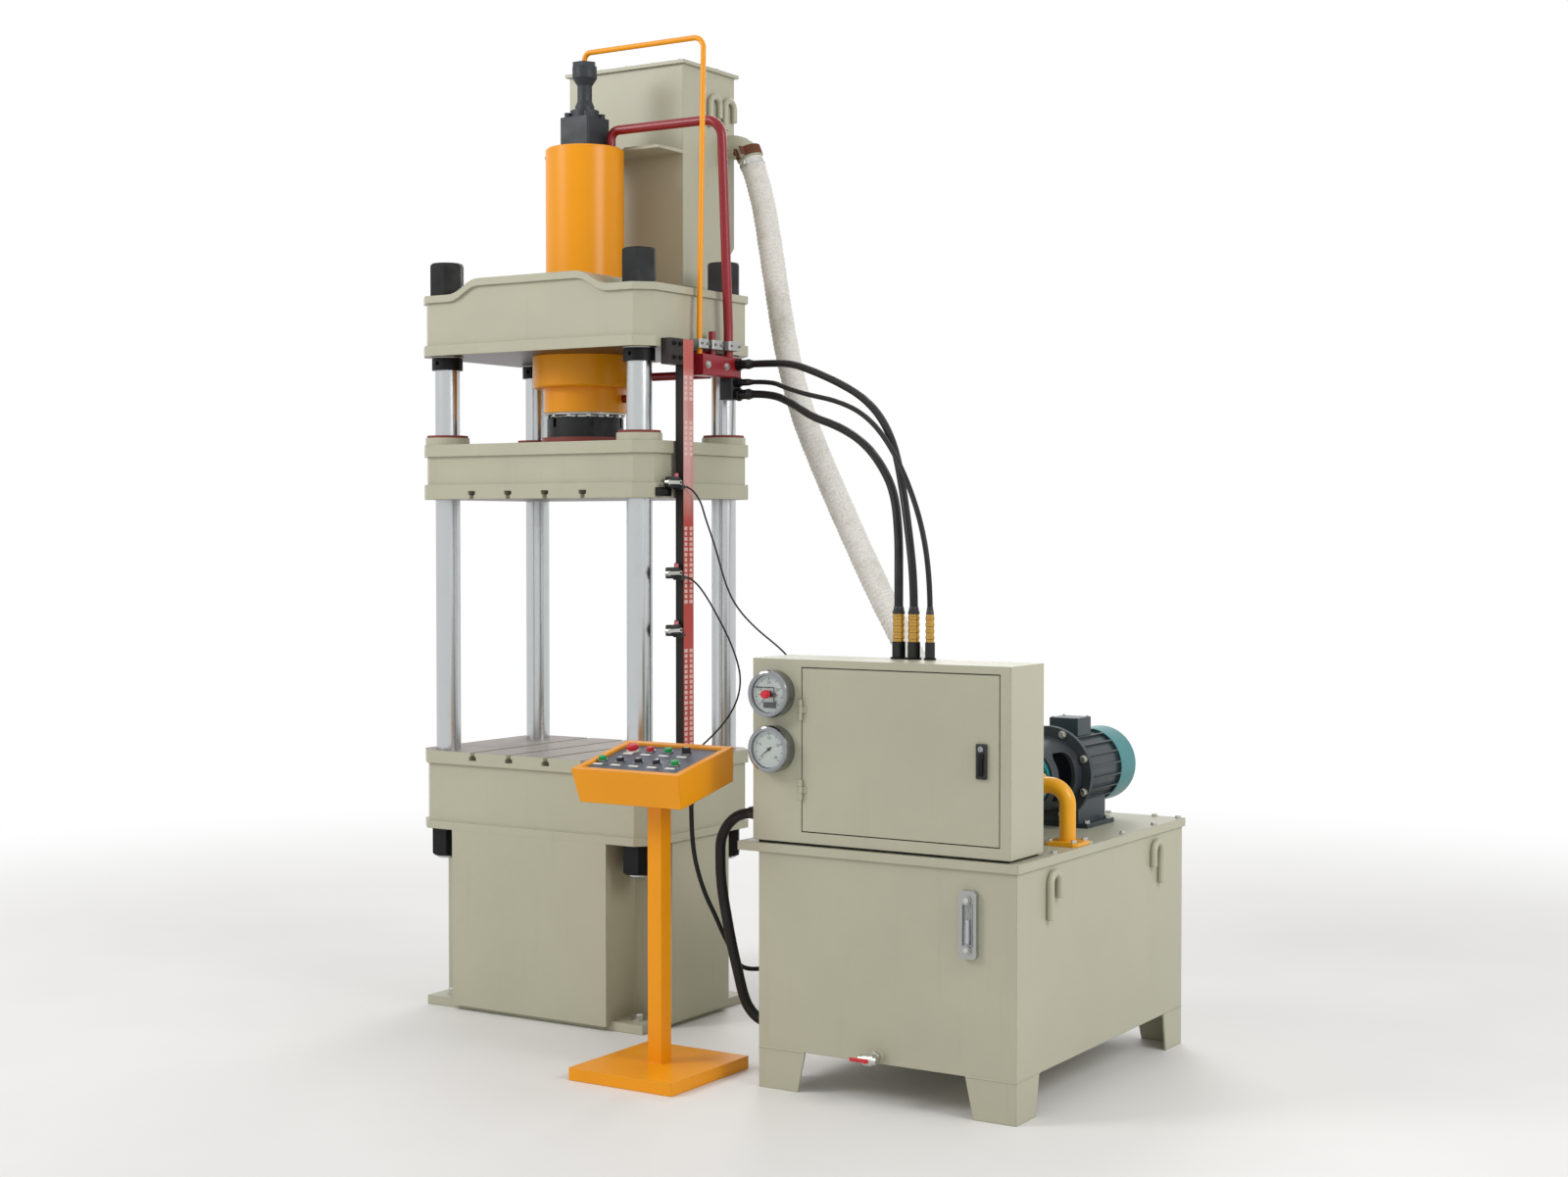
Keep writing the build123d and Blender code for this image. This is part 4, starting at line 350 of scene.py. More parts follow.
def make_finishes():
    """Makes every material once, from the colours in the panel."""
    paint = bpy.context.scene.press_finish
    body = tuple(paint.enamel)
    black = "#101113"
    primer = "#7C2F26"
    finishes.update({
        "enamel": enamel("Pebble alkyd enamel on plate", body, 0.40, 0.16),
        "table_enamel": enamel("Pebble enamel with ground table face", body, 0.40, 0.16,
                               bare_and_shade=(0.85, 0.8802, 1, "#5E5049", "#948B83", 0.85)),
        # The slider's lower face is ground steel in colours darker than the table's, which paint in the shade
        # under the slider.
        "slider_enamel_with_painted_shade": enamel("Pebble enamel with ground slider face", body, 0.40, 0.16,
                                bare_and_shade=(1.7368, 1.766, -1, "#3E332E", "#6F655E", 0.6)),
        # The beam's downward faces get a dark red-brown primer colour that is also painted shade under the
        # beam.
        "beam_enamel_with_painted_shade": enamel("Pebble enamel with primed underside", body, 0.40, 0.16,
                              bare_and_shade=(2.2, 2.2262, -1, "#2A1C19", "#43302B", 0.0)),
        "orange": enamel("Orange gloss enamel", tuple(paint.orange), 0.32, 0.05, "#8A5420", 0.35, coat=0.04,
                         shine=0.3),
        "yellow": enamel("Yellow gloss enamel", "#E8A410", 0.30, 0.15, "#7A5636", 0.35, coat=0.06),
        "maroon": enamel("Maroon gloss enamel", tuple(paint.maroon), 0.30, 0.12, "#4A2422", 0.35, coat=0.1),
        "teal": enamel("Teal machine enamel", tuple(paint.teal), 0.34, 0.22, "#4B5351", 0.4, coat=0.1),
        "motor": enamel("Blue-black motor enamel", "#1E2C32", 0.40, 0.22, "#5A5E5E", 0.4, coat=0.1),
        "primer": moulded("Red oxide primer, brushed", primer, 0.62, 9, 0.25, 0.2),
        "rail": rail_paint("Red and black rail paint", tuple(paint.scale_red)),
        "chrome_column": ground_metal("Hard chrome, ground", "#BEC1C2", 0.22, 3.0, (1, 1, 0.02), 0.05,
                                      "#6E6459", 0.03, 0.004, (0.9, 1.25)),
        # The polished chrome's base colour is darkened to paint in the dark surroundings it reflects: painted
        # reflection.
        "chrome": ground_metal("Bright chrome, polished", "#94979A", 0.07, 4.0, (1, 1, 1), 0.06,
                               contrast=0.03),
        "steel": ground_metal("Machined mild steel, oiled", "#A5A29C", 0.34, 2.5, (1, 1, 0.2), 0.35),
        "zinc": ground_metal("Zinc-plated steel", "#C3C4BE", 0.30, 5.0, (1, 1, 1), 0.2, "#77705F"),
        "alloy": moulded("Die-cast alloy, tumbled", "#A9AAA8", 0.38, 5, 0.15, 0.15, Metallic=0.8),
        "black_steel": moulded("Black oxide steel, oiled", "#08090A", 0.42, 7, 0.10, 0.08,
                               Specular_IOR_Level=0.22),
        "cast": moulded("Grey cast iron, painted", "#282E32", 0.46, 5, 0.35, 0.15, Specular_IOR_Level=0.4),
        "rod_ring": parted("Black ring on a primed flange", 2, 1.9483, primer, black, 0.0, 0.3, 0.45),
        "fittings": parted("Brass ferrules on black adapters", 2, 1.3101, black, "#B9924A", 0.2, 1.0, 0.32,
                           1.0),
        "switch": parted("Black phenolic switch with a red cap", 1, -0.1955, black, black, 0.0, 0.0, 0.45),
        "rubber": moulded("Nitrile rubber cover, cloth wrapped", "#101011", 0.50, 2.6, 0.35, 0.15,
                          Specular_IOR_Level=0.35),
        "black_abs": moulded("Black ABS, moulded", "#141416", 0.40, 1.5, 0.1, 0.12),
        "panel": ground_metal("Anodised aluminium, brushed", "#7C7F8A", 0.45, 2.0, (0.08, 1, 1), 0.25,
                              "#5E6266"),
        "green_cap": moulded("Green nylon button", "#0E9A4A", 0.28, 3, 0.05, 0.1),
        "red_cap": moulded("Red nylon button", "#C8202A", 0.28, 3, 0.05, 0.1),
        "black_cap": moulded("Black nylon button", "#202124", 0.28, 3, 0.05, 0.1),
        "white_print": moulded("White printing ink", "#E9E6DE", 0.6, 4, 0.05, 0.2),
        "worn_print": moulded("Worn white printing on red", "#DDB8B1", 0.6, 9, 0.05, 0.2),
        "black_print": moulded("Black printing ink", "#141414", 0.55, 4, 0.05, 0.0),
        "dial_card": moulded("Pale enamelled dial", "#DCE2DE", 0.5, 8, 0.02, 0.04),
        "pink_cap": moulded("Faded red phenolic cap", "#D0747C", 0.45, 3, 0.1, 0.2),
        "rust": moulded("Rusty band steel", "#6A3F28", 0.75, 6, 0.5, 0.2, Metallic=0.3),
        "sleeve": woven_sleeve("Woven glass-fibre sleeve", tuple(paint.sleeve)),
        "glass": clear_pane("Clear gauge glass", "#FBFDFD"),
        "oil": moulded("Pale oil in a glass tube", "#B4B5BE", 0.12, 20, 0.01, 0.1),
        "weld": moulded("Painted weld bead", tuple(c * 0.93 for c in body), 0.45, 3, 0.5, 0.15),
        # Dark colour for the strips in the gaps round the door and under the cabinet: painted shadow.
        "painted_gap_shadow": moulded("Shadowed rubber seal", "#2A2925", 0.7, 4, 0.2, 0.2),
    })


# Modelling helpers. Lengths are in millimetres where they name no other unit, and places in metres.

corners = ((-1, -1), (-1, 1), (1, -1), (1, 1))


def piece(name, finish, smooth=False, body="press"):
    """Turns a function that fills a bmesh into the finished piece, which rides on a body."""
    def make(fill):
        bm = bmesh.new()
        fill(bm)
        bmesh.ops.recalc_face_normals(bm, faces=bm.faces[:])
        mesh = bpy.data.meshes.new(name)
        bm.to_mesh(mesh)
        bm.free()
        if smooth:
            mesh.shade_smooth()
            mesh.set_sharp_from_angle(angle=math.radians(38))
        mesh.materials.append(finishes[finish])
        made = bpy.data.objects.new(name, mesh)
        bpy.context.scene.collection.objects.link(made)
        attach(made, body)
        return made
    return make


def at(place, direction=(0, 0, 1), turn=0.0):
    """A matrix that stands a part at a place, its Z along a direction, turned about it."""
    rotation = Vector((0, 0, 1)).rotation_difference(Vector(direction)).to_matrix().to_4x4()
    return Matrix.Translation(Vector(place)) @ rotation @ Matrix.Rotation(turn, 4, "Z")


def shift(x, y, z):
    """A matrix that moves by millimetres."""
    return Matrix.Translation((x * MM, y * MM, z * MM))


def connected(bm, seeds):
    """Every vertex that is joined to the seeds."""
    seen = set(seeds)
    edge = list(seeds)
    while edge:
        vert = edge.pop()
        for link in vert.link_edges:
            other = link.other_vert(vert)
            if other not in seen:
                seen.add(other)
                edge.append(other)
    return list(seen)


def turned_part(bm, profile, matrix, steps=24):
    """Spins a profile of radius and height pairs into a closed turned part."""
    verts = [bm.verts.new((r * MM, 0, z * MM)) for r, z in profile]
    edges = [bm.edges.new(pair) for pair in zip(verts, verts[1:])]
    bmesh.ops.spin(bm, geom=verts + edges, cent=(0, 0, 0), axis=(0, 0, 1), angle=2 * math.pi, steps=steps,
                   use_merge=True)
    bmesh.ops.remove_doubles(bm, verts=connected(bm, verts), dist=1e-6)
    own = connected(bm, [v for v in verts if v.is_valid])
    bmesh.ops.transform(bm, matrix=matrix, verts=own)


def soft_box(bm, size, matrix, bevel=0.0, segments=2):
    """A box with rounded edges."""
    made = bmesh.ops.create_cube(bm, size=1.0)["verts"]
    bmesh.ops.scale(bm, vec=[s * MM for s in size], verts=made)
    if bevel:
        edges = list({e for v in made for e in v.link_edges})
        done = bmesh.ops.bevel(bm, geom=edges, offset=bevel * MM, offset_type="OFFSET", segments=segments,
                               profile=0.5, affect="EDGES", material=-1)
        made = connected(bm, list({v for f in done["faces"] for v in f.verts}))
    bmesh.ops.transform(bm, matrix=matrix, verts=made)


def hex_head(bm, across, height, matrix, washer=True):
    """A hexagon bolt head with a chamfered top, on a washer."""
    made = bmesh.ops.create_circle(bm, cap_ends=True, segments=6, radius=across * MM / math.sqrt(3))["verts"]
    face = made[0].link_faces[0]
    grown = bmesh.ops.extrude_face_region(bm, geom=[face])["geom"]
    top = [g for g in grown if isinstance(g, bmesh.types.BMVert)]
    bmesh.ops.translate(bm, verts=top, vec=(0, 0, height * MM))
    rim = [e for e in {e for v in top for e in v.link_edges} if all(v in top for v in e.verts)]
    bmesh.ops.bevel(bm, geom=rim, offset=height * MM * 0.16, offset_type="OFFSET", segments=1, profile=0.5,
                    affect="EDGES", material=-1)
    bmesh.ops.transform(bm, matrix=matrix, verts=connected(bm, [v for v in made if v.is_valid]))
    if washer:
        r = across * 0.68
        t = height * 0.18
        turned_part(bm, [(0, 0), (r, 0), (r, t), (0, t)], matrix, 16)


def socket_head(bm, diameter, height, matrix):
    """A socket cap screw head with its hexagon recess."""
    r = diameter / 2
    turned_part(bm, [(0, 0), (r, 0), (r, height * 0.86), (r * 0.86, height), (r * 0.55, height),
                     (r * 0.5, height * 0.45), (0, height * 0.45)], matrix, 12)


def band(bm, radius, thickness, width, matrix, steps=40):
    """A flat ring, as a hose band or a washer."""
    turned_part(bm, [(radius, 0), (radius + thickness, 0), (radius + thickness, width), (radius, width),
                     (radius, 0)], matrix, steps)


def screw_group(name, finish, *sets, smooth=False):
    """One piece of several sets of screws. Each set is a kind of head, its two sizes, its places and the
    direction that it faces."""
    @piece(name, finish, smooth)
    def heads(bm):
        for make, sizes, places, direction, *more in sets:
            for place in places:
                make(bm, *sizes, at(place, direction), *more)


def circle(count, first, radius):
    """Offsets of evenly spaced places round a circle, the first at an angle in degrees."""
    angles = [math.radians(360 / count * i + first) for i in range(count)]
    return [(radius * math.cos(a), radius * math.sin(a)) for a in angles]


def metres(points):
    """Route points in metres from millimetres."""
    return [Vector(p) * MM for p in points]


def smooth_line(name, points):
    """A curve of one open spline that follows a route."""
    curve = bpy.data.curves.new(name, "CURVE")
    curve.dimensions = "3D"
    curve.resolution_u = 10
    spline = curve.splines.new("NURBS")
    spline.points.add(len(points) - 1)
    for spot, point in zip(spline.points, points):
        spot.co = (*point, 1.0)
    spline.order_u = 3
    spline.use_endpoint_u = True
    return curve


def mesh_from(name, curve):
    """The mesh of a curve, which is deleted."""
    holder = bpy.data.objects.new(name, curve)
    bpy.context.scene.collection.objects.link(holder)
    bpy.context.view_layer.update()
    mesh = bpy.data.meshes.new_from_object(holder.evaluated_get(bpy.context.evaluated_depsgraph_get()))
    bpy.data.objects.remove(holder)
    bpy.data.curves.remove(curve)
    return mesh


def line_points(name, points, spacing):
    """Evenly spaced points on the smooth line of a route."""
    mesh = mesh_from(name, smooth_line(name, points))
    line = [v.co.copy() for v in mesh.vertices]
    bpy.data.meshes.remove(mesh)
    total = sum((b - a).length for a, b in zip(line, line[1:]))
    count = max(2, round(total / spacing))
    step = total / count
    even = [line[0]]
    walked, wanted = 0.0, step
    for a, b in zip(line, line[1:]):
        length = (b - a).length
        while length and walked + length >= wanted - 1e-9 and len(even) < count:
            even.append(a.lerp(b, (wanted - walked) / length))
            wanted += step
        walked += length
    even.append(line[-1])
    return even


def carried_frames(line):
    """Upright frames along a line, each turned from the last as little as the bend asks."""
    frames = []
    old = None
    turn = Matrix.Identity(3)
    for i, point in enumerate(line):
        ahead = (line[min(i + 1, len(line) - 1)] - line[max(i - 1, 0)]).normalized()
        start = old or Vector((0, 0, 1))
        turn = start.rotation_difference(ahead).to_matrix() @ turn
        old = ahead
        frames.append(Matrix.Translation(point) @ turn.to_4x4())
    return frames


def tube(bm, line, radii, sides):
    """A closed tube that grows along a line in metres, ring by ring, with its own radius at each."""
    frames = carried_frames(line)
    ring = bmesh.ops.create_circle(bm, cap_ends=True, segments=sides, radius=radii[0])["verts"]
    bmesh.ops.transform(bm, matrix=frames[0], verts=ring)
    face = ring[0].link_faces[0]
    for k in range(1, len(line)):
        grown = bmesh.ops.extrude_face_region(bm, geom=[face])["geom"]
        ring = [g for g in grown if isinstance(g, bmesh.types.BMVert)]
        if k > 1:
            bmesh.ops.delete(bm, geom=[face], context="FACES_ONLY")
        face = [g for g in grown if isinstance(g, bmesh.types.BMFace)][0]
        step = frames[k] @ Matrix.Scale(radii[k] / radii[k - 1], 4) @ frames[k - 1].inverted()
        bmesh.ops.transform(bm, matrix=step, verts=ring)


def numeral(bm, text, size, depth, matrix):
    """Sets a short number, made a mesh before it is placed."""
    curve = bpy.data.curves.new("number", "FONT")
    curve.body = text
    curve.size = size * MM
    curve.align_x = "CENTER"
    curve.align_y = "CENTER"
    curve.extrude = depth * MM / 2
    curve.resolution_u = 2
    mesh = mesh_from("number", curve)
    mesh.transform(matrix)
    bm.from_mesh(mesh)
    bpy.data.meshes.remove(mesh)


# Routes of the hoses and wires, in millimetres. Each starts and ends straight in its fitting.

overflow_route = [
    (349.2, 505, 2940), (393.7, 505, 2829.6), (443, 487, 2627), (491, 464, 2426), (550, 431, 2229),
    (629, 392, 2040), (735, 346, 1867), (849, 295, 1700), (964, 247, 1533), (1079, 209, 1364),
    (1197, 186, 1193), (1311, 180, 1020), (1400, 180, 834), (1400, 180, 724)]
left_hose_route = [
    (588, 118, 2086), (680, 118, 2086), (811, 45, 2045), (933, -39, 1996), (1072, -101, 1959),
    (1201, -172, 1906), (1312, -255, 1835), (1408, -341, 1746), (1467, -419, 1624), (1500, -478, 1482),
    (1500, -478, 1390)]
middle_hose_route = [
    (588, 118, 2186), (680, 118, 2186), (810, 48, 2174), (936, -32, 2141), (1071, -90, 2094),
    (1197, -158, 2041), (1308, -238, 1971), (1398, -318, 1877), (1461, -385, 1755), (1514, -443, 1622),
    (1550, -478, 1482), (1550, -478, 1390)]
right_hose_route = [
    (588, 118, 2126), (680, 118, 2126), (796, 29, 2095), (924, -53, 2066), (1065, -116, 2040),
    (1193, -195, 2003), (1310, -284, 1949), (1415, -369, 1874), (1508, -434, 1767), (1575, -468, 1632),
    (1603, -478, 1482), (1603, -478, 1390)]
loop_route = [
    (1077, -560, 790), (1018, -560, 790), (964, -560, 758), (932, -560, 704), (932, -560, 642),
    (934, -560, 586), (941, -558, 528), (951, -555, 470), (961, -551, 410), (971, -545, 352),
    (981, -536, 297), (987, -526, 246), (997, -513, 197), (1027, -505, 162), (1070, -500, 148),
    (1113, -500, 148)]
upper_wire_route = [
    (541, -188, 1773), (541, -152, 1773), (564, -126, 1729), (566, -103, 1676), (582, -93, 1621),
    (602, -91, 1566), (621, -92, 1510), (642, -94, 1455), (671, -98, 1405), (711, -105, 1363),
    (758, -116, 1329), (807, -132, 1301), (857, -150, 1277), (906, -174, 1255), (950, -208, 1237),
    (988, -250, 1221), (1021, -296, 1204), (1041, -346, 1183), (1044, -398, 1156), (1040, -448, 1127),
    (1060, -486, 1104), (1095, -486, 1104)]
lower_wire_route = [
    (541, -188, 1480), (541, -162, 1480), (555, -131, 1457), (573, -114, 1423), (592, -103, 1387),
    (612, -97, 1350), (633, -93, 1313), (653, -91, 1276), (671, -90, 1237), (687, -91, 1198),
    (698, -94, 1158), (699, -99, 1116), (688, -103, 1075), (669, -108, 1038), (643, -112, 1004),
    (614, -115, 973), (584, -122, 944), (556, -136, 915), (541, -145, 878), (541, -145, 848)]
cable_route = [
    (868, -622, 841.4), (868, -622, 761.4), (870, -614, 670), (878, -600, 600), (892, -580, 530),
    (911, -554, 465), (926, -536, 410), (942, -516, 362), (951, -503, 321), (969, -478, 299),
    (1001, -433, 295), (1019, -407, 312), (1030, -392, 342), (1030, -392, 400), (1029, -394, 460),
    (1027, -400, 525), (1026, -410, 595), (1026, -426, 660), (1028, -443, 715), (1030, -456, 757),
    (1030, -464, 813), (1044, -468, 838), (1070, -470, 852), (1095, -470, 852)]

plain_cords = [
    ("pressure_hose_left", left_hose_route, 26, 1.428, "stiff"),
    ("pressure_hose_middle", middle_hose_route, 24, 1.549, "stiff"),
    ("pressure_hose_right", right_hose_route, 16, 1.567, "stiff"),
    ("loop_hose", loop_route, 32, 0.830, "stiff"),
    ("upper_switch_wire", upper_wire_route, 6, 1.160, "medium"),
    ("lower_switch_wire", lower_wire_route, 6, 0.770, "medium"),
    ("pedestal_cable", cable_route, 14, 1.269, "medium"),
]


class PRESS_OT_camera(bpy.types.Operator):
    """Sets up the camera at the photograph's place and angle."""

    bl_idname = "press.camera"
    bl_label = "Camera"

    def execute(self, context):
        studio = context.scene.press_studio
        data = bpy.data.cameras.new("camera")
        data.lens = studio.lens
        data.sensor_width = 36.0
        camera = bpy.data.objects.new("camera", data)
        context.scene.collection.objects.link(camera)
        camera.location = studio.camera_place
        camera.rotation_euler = (math.pi / 2 - studio.camera_tilt, 0, studio.camera_turn)
        context.scene.camera = camera
        return {"FINISHED"}


class PRESS_OT_finishes(bpy.types.Operator):
    """Gives every piece of the frame its finish."""

    bl_idname = "press.finishes"
    bl_label = "Finishes of the frame"

    node_finishes = {
        "table_enamel": ("base_frame",),
        "slider_enamel_with_painted_shade": ("slider",),
        "beam_enamel_with_painted_shade": ("upper_beam",),
        "enamel": ("upper_tank", "overflow_elbow", "reservoir", "reservoir_lid", "control_cabinet",
                   "cabinet_door"),
        "orange": ("cylinder_barrel", "cylinder_lock_ring", "pilot_pipe", "pedestal_stand", "control_box"),
        "yellow": ("suction_pipe",),
        "maroon": ("pressure_pipe", "pipe_manifold"),
        "chrome_column": ("columns", "piston_rod"),
        "black_steel": ("column_nuts", "beam_collars", "striker"),
        "rod_ring": ("rod_ring",),
        "primer": ("guide_bushes",),
        "cast": ("prefill_valve", "prefill_actuator", "bell_housing"),
        "steel": ("cylinder_gland", "valve_block", "motor_rotor"),
        "rail": ("limit_rail",),
        "switch": ("limit_switches",),
        "zinc": ("switch_lever_top", "switch_lever_middle", "switch_lever_low"),
        "alloy": ("pipe_clamps", "level_gauge"),
        "chrome": ("gauge_cases",),
        "fittings": ("hose_fittings",),
        "teal": ("pump", "fan_cover"),
        "motor": ("motor_body",),
        "panel": ("button_panel",),
        "green_cap": ("button_advance", "button_eject", "button_motor_on"),
        "red_cap": ("button_stop", "button_motor_off"),
        "black_cap": ("button_press", "button_hold", "button_return", "selector_mode"),
    }

    def execute(self, context):
        make_finishes()
        for finish, names in self.node_finishes.items():
            for name in names:
                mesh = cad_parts[name].data
                mesh.materials.clear()
                mesh.materials.append(finishes[finish])
        return {"FINISHED"}


class PRESS_OT_pressure_lines(bpy.types.Operator):
    """Lays the black hoses, the switch wires and the pedestal's cable, with their strain reliefs."""

    bl_idname = "press.pressure_lines"
    bl_label = "Hoses, wires and cable"

    def execute(self, context):
        for name, route, diameter, length, stiffness in plain_cords:
            points = metres(route)
            curve = smooth_line(name + "_line", points)
            curve.bevel_depth = diameter * MM / 2
            curve.bevel_resolution = 5
            curve.use_fill_caps = True
            curve.materials.append(finishes["rubber"])
            run = bpy.data.objects.new(name + "_run", curve)
            context.scene.collection.objects.link(run)
            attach(run, "press")
            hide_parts(name)
            reliefs = self.strain_reliefs(name, points, diameter)
        return {"FINISHED"}

    def strain_reliefs(self, name, points, diameter):
        """Tapered sleeves at both ends of a run, or swaged collars on a pressure hose."""
        r = diameter / 2
        reach = 22 if name.startswith("pressure") or diameter < 10 else 40
        rings = [(r, 0), (r * 1.42, 0), (r * 1.42, reach * 0.3), (r * 1.3, reach * 0.36),
                 (r * 1.3, reach * 0.5), (r * 1.2, reach * 0.55), (r * 1.2, reach * 0.72), (r * 1.05, reach),
                 (r, reach), (r, 0)]

        @piece(name + "_reliefs", "black_abs", True)
        def reliefs(bm):
            for end, inner in ((points[0], points[1]), (points[-1], points[-2])):
                turned_part(bm, rings, at(end, inner - end), 20)

        return reliefs


class PRESS_OT_overflow_hose(bpy.types.Operator):
    """Makes the ridged white overflow hose and the steel bands that hold it."""

    bl_idname = "press.overflow_hose"
    bl_label = "Overflow hose"

    def execute(self, context):
        sizes = context.scene.press_sizes
        radius = 43 * MM - sizes.ridge_height
        line = line_points("overflow_line", metres(overflow_route), sizes.ridge_pitch / 3)
        last = len(line) - 1
        radii = []
        for i in range(len(line)):
            cloth = 0.35 * math.sin(i * 0.37) + 0.25 * math.sin(i * 0.11 + 1.0)
            ridge = (0.0, 1.0, 0.55)[i % 3]
            radii.append(radius + sizes.ridge_height * (ridge + cloth * 0.4) if 0 < i < last else radius)

        @piece("overflow_hose_run", "sleeve", True)
        def run(bm):
            tube(bm, line, radii, 28)

        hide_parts("overflow_hose")

        @piece("overflow_hose_bands", "zinc", True)
        def clamps(bm):
            first = at(line[0] + (line[6] - line[0]).normalized() * 12 * MM, line[6] - line[0])
            foot = at(line[-1] + Vector((0, 0, 14 * MM)))
            for matrix in (first, foot):
                band(bm, 43.2, 2.2, 14, matrix)
                screw = matrix @ shift(0, -49, 7)
                soft_box(bm, (16, 9, 15), screw, 1.5)
                hex_head(bm, 8, 9, screw @ at((8 * MM, 0, 0), (1, 0, 0)), False)

        return {"FINISHED"}


class PRESS_OT_gauges(bpy.types.Operator):
    """Makes the dials, numbers, needles, contact hands and glasses of the two gauges."""

    bl_idname = "press.gauges"
    bl_label = "Pressure gauges"

    def execute(self, context):
        sizes = context.scene.press_sizes
        count = sizes.dial_marks
        low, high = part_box("gauge_cases")
        r = (high.x - low.x) / 2
        middle_x, dial_y = (low.x + high.x) / 2, low.y + 12 * MM
        dials = [at((middle_x, dial_y, z), (0, -1, 0)) for z in (high.z - r, low.z + r)]
        start, sweep = math.radians(225), math.radians(270)

        def spoke(dial, angle, radius, lift):
            """A matrix at an angle clockwise from the lower left of a dial, Y outwards."""
            return dial @ Matrix.Rotation(start - angle, 4, "Z") @ shift(radius, 0, lift)

        @piece("gauge_dials", "dial_card", True)
        def cards(bm):
            for dial in dials:
                turned_part(bm, [(0, 0), (54, 0), (54, 1.2), (51, 1.2), (50.5, 0.8), (0, 0.8)], dial, 56)

        @piece("gauge_marks", "black_print")
        def marks(bm):
            for dial in dials:
                for i in range(count):
                    long, wide = (7, 2.2) if i % 5 == 0 else (3.5, 1.1)
                    soft_box(bm, (long, wide, 0.3), spoke(dial, sweep * i / (count - 1), 48 - long / 2, 1.0))
                for i in range(5):
                    angle = start - sweep * i / 4
                    spot = shift(33 * math.cos(angle), 33 * math.sin(angle), 1.0)
                    numeral(bm, str(i * 10), 12, 0.3, dial @ spot)

        @piece("gauge_needles", "black_print")
        def hands(bm):
            reach = sizes.needle_length
            for dial, angle in zip(dials, (0.0, 8.0)):
                made = bmesh.ops.create_cube(bm, size=1.0)["verts"]
                bmesh.ops.scale(bm, vec=(reach * 1.3, 4.5 * MM, 0.8 * MM), verts=made)
                bmesh.ops.translate(bm, vec=(reach * 0.35, 0, 0), verts=made)
                bmesh.ops.scale(bm, vec=(1, 0.16, 1), verts=[v for v in made if v.co.x > 0])
                bmesh.ops.transform(bm, matrix=spoke(dial, math.radians(angle), 0, 3.2), verts=made)
                turned_part(bm, [(0, 0.8), (5, 0.8), (5, 4.5), (3.5, 5.5), (0, 5.5)], dial, 16)

        @piece("gauge_knob", "red_cap", True)
        def knob(bm):
            turned_part(bm, [(0, 13), (11, 13), (12.5, 14.5), (12.5, 28), (11, 31), (8, 32), (0, 32)],
                        dials[0], 28)
            for turn in (40, 230):
                soft_box(bm, (34, 2.4, 0.7), spoke(dials[0], math.radians(turn), 17, 5.4), 0.3, 1)

        @piece("gauge_bridge_and_shade", "black_abs", True)
        def contact_bridge_and_shade(bm):
            # The last box, 44 by 17 low on the dial, is a black sheet of painted shade inside the bezel's lower
            # rim; the others are the contact bridge.
            for size, place, bevel in (((66, 3, 1.5), (-13, 19, 6), 0.5), ((3, 42, 1.5), (20, -2, 6), 0.5),
                                       ((26, 13, 5), (12, -2, 5), 1.5), ((44, 17, 2), (4, -32, 4), 1)):
                soft_box(bm, size, dials[0] @ shift(*place), bevel)
            turned_part(bm, [(0, 5), (9, 5), (9, 10.9), (7, 13.2), (0, 13.2)], dials[0], 20)

        @piece("gauge_panes", "glass", True)
        def panes(bm):
            for dial, crown in zip(dials, (3.5, 1.5)):
                turned_part(bm, [(0, 8 + crown), (30, 8 + crown * 0.72), (54.5, 8), (54.5, 6.5),
                                 (30, 6.5 + crown * 0.72), (0, 6.5 + crown)], dial, 48)

        @piece("gauge_bezels", "chrome", True)
        def bezels(bm):
            for dial in dials:
                turned_part(bm, [(54.6, 4), (60, 11), (62, 13), (66.5, 11.6), (68.6, 7), (69.6, 3), (69.6, -5),
                                 (69, -6), (68, 3), (54.6, 4)], dial, 64)

        return {"FINISHED"}


class PRESS_OT_rail_scale(bpy.types.Operator):
    """Prints the two columns of worn marks on the rail and fits the switch caps."""

    bl_idname = "press.rail_scale"
    bl_label = "Rail scale and caps"

    # Stretches of the rail where the marks aren't rubbed away, as levels in metres
    printed = ((0.90, 1.27), (1.40, 1.66), (1.88, 2.00), (2.06, 2.16))
    # Widths of the marks in millimetres, as the brush left them
    widths = (19, 15, 17, 13, 16)

    def execute(self, context):
        step = context.scene.press_sizes.scale_step
        face_x = 0.530
        rail_front = -0.174

        @piece("rail_marks", "worn_print")
        def marks(bm):
            for start, end in self.printed:
                for i in range(int((end - start) / step)):
                    size = (0.5, self.widths[i % len(self.widths)], step / MM * 0.66)
                    for y in (rail_front + 13 * MM, rail_front + 42 * MM):
                        soft_box(bm, size, at((face_x + 0.2 * MM, y, start + i * step)))

        @piece("switch_caps", "pink_cap", True)
        def caps(bm):
            for z in (1.787, 1.494, 1.308):
                turned_part(bm, [(0, 0), (7.4, 0), (7.4, 10), (6.4, 13), (3, 14.8), (0, 15)],
                            at((0.511, rail_front - 14 * MM, z + 18 * MM)), 18)

        return {"FINISHED"}


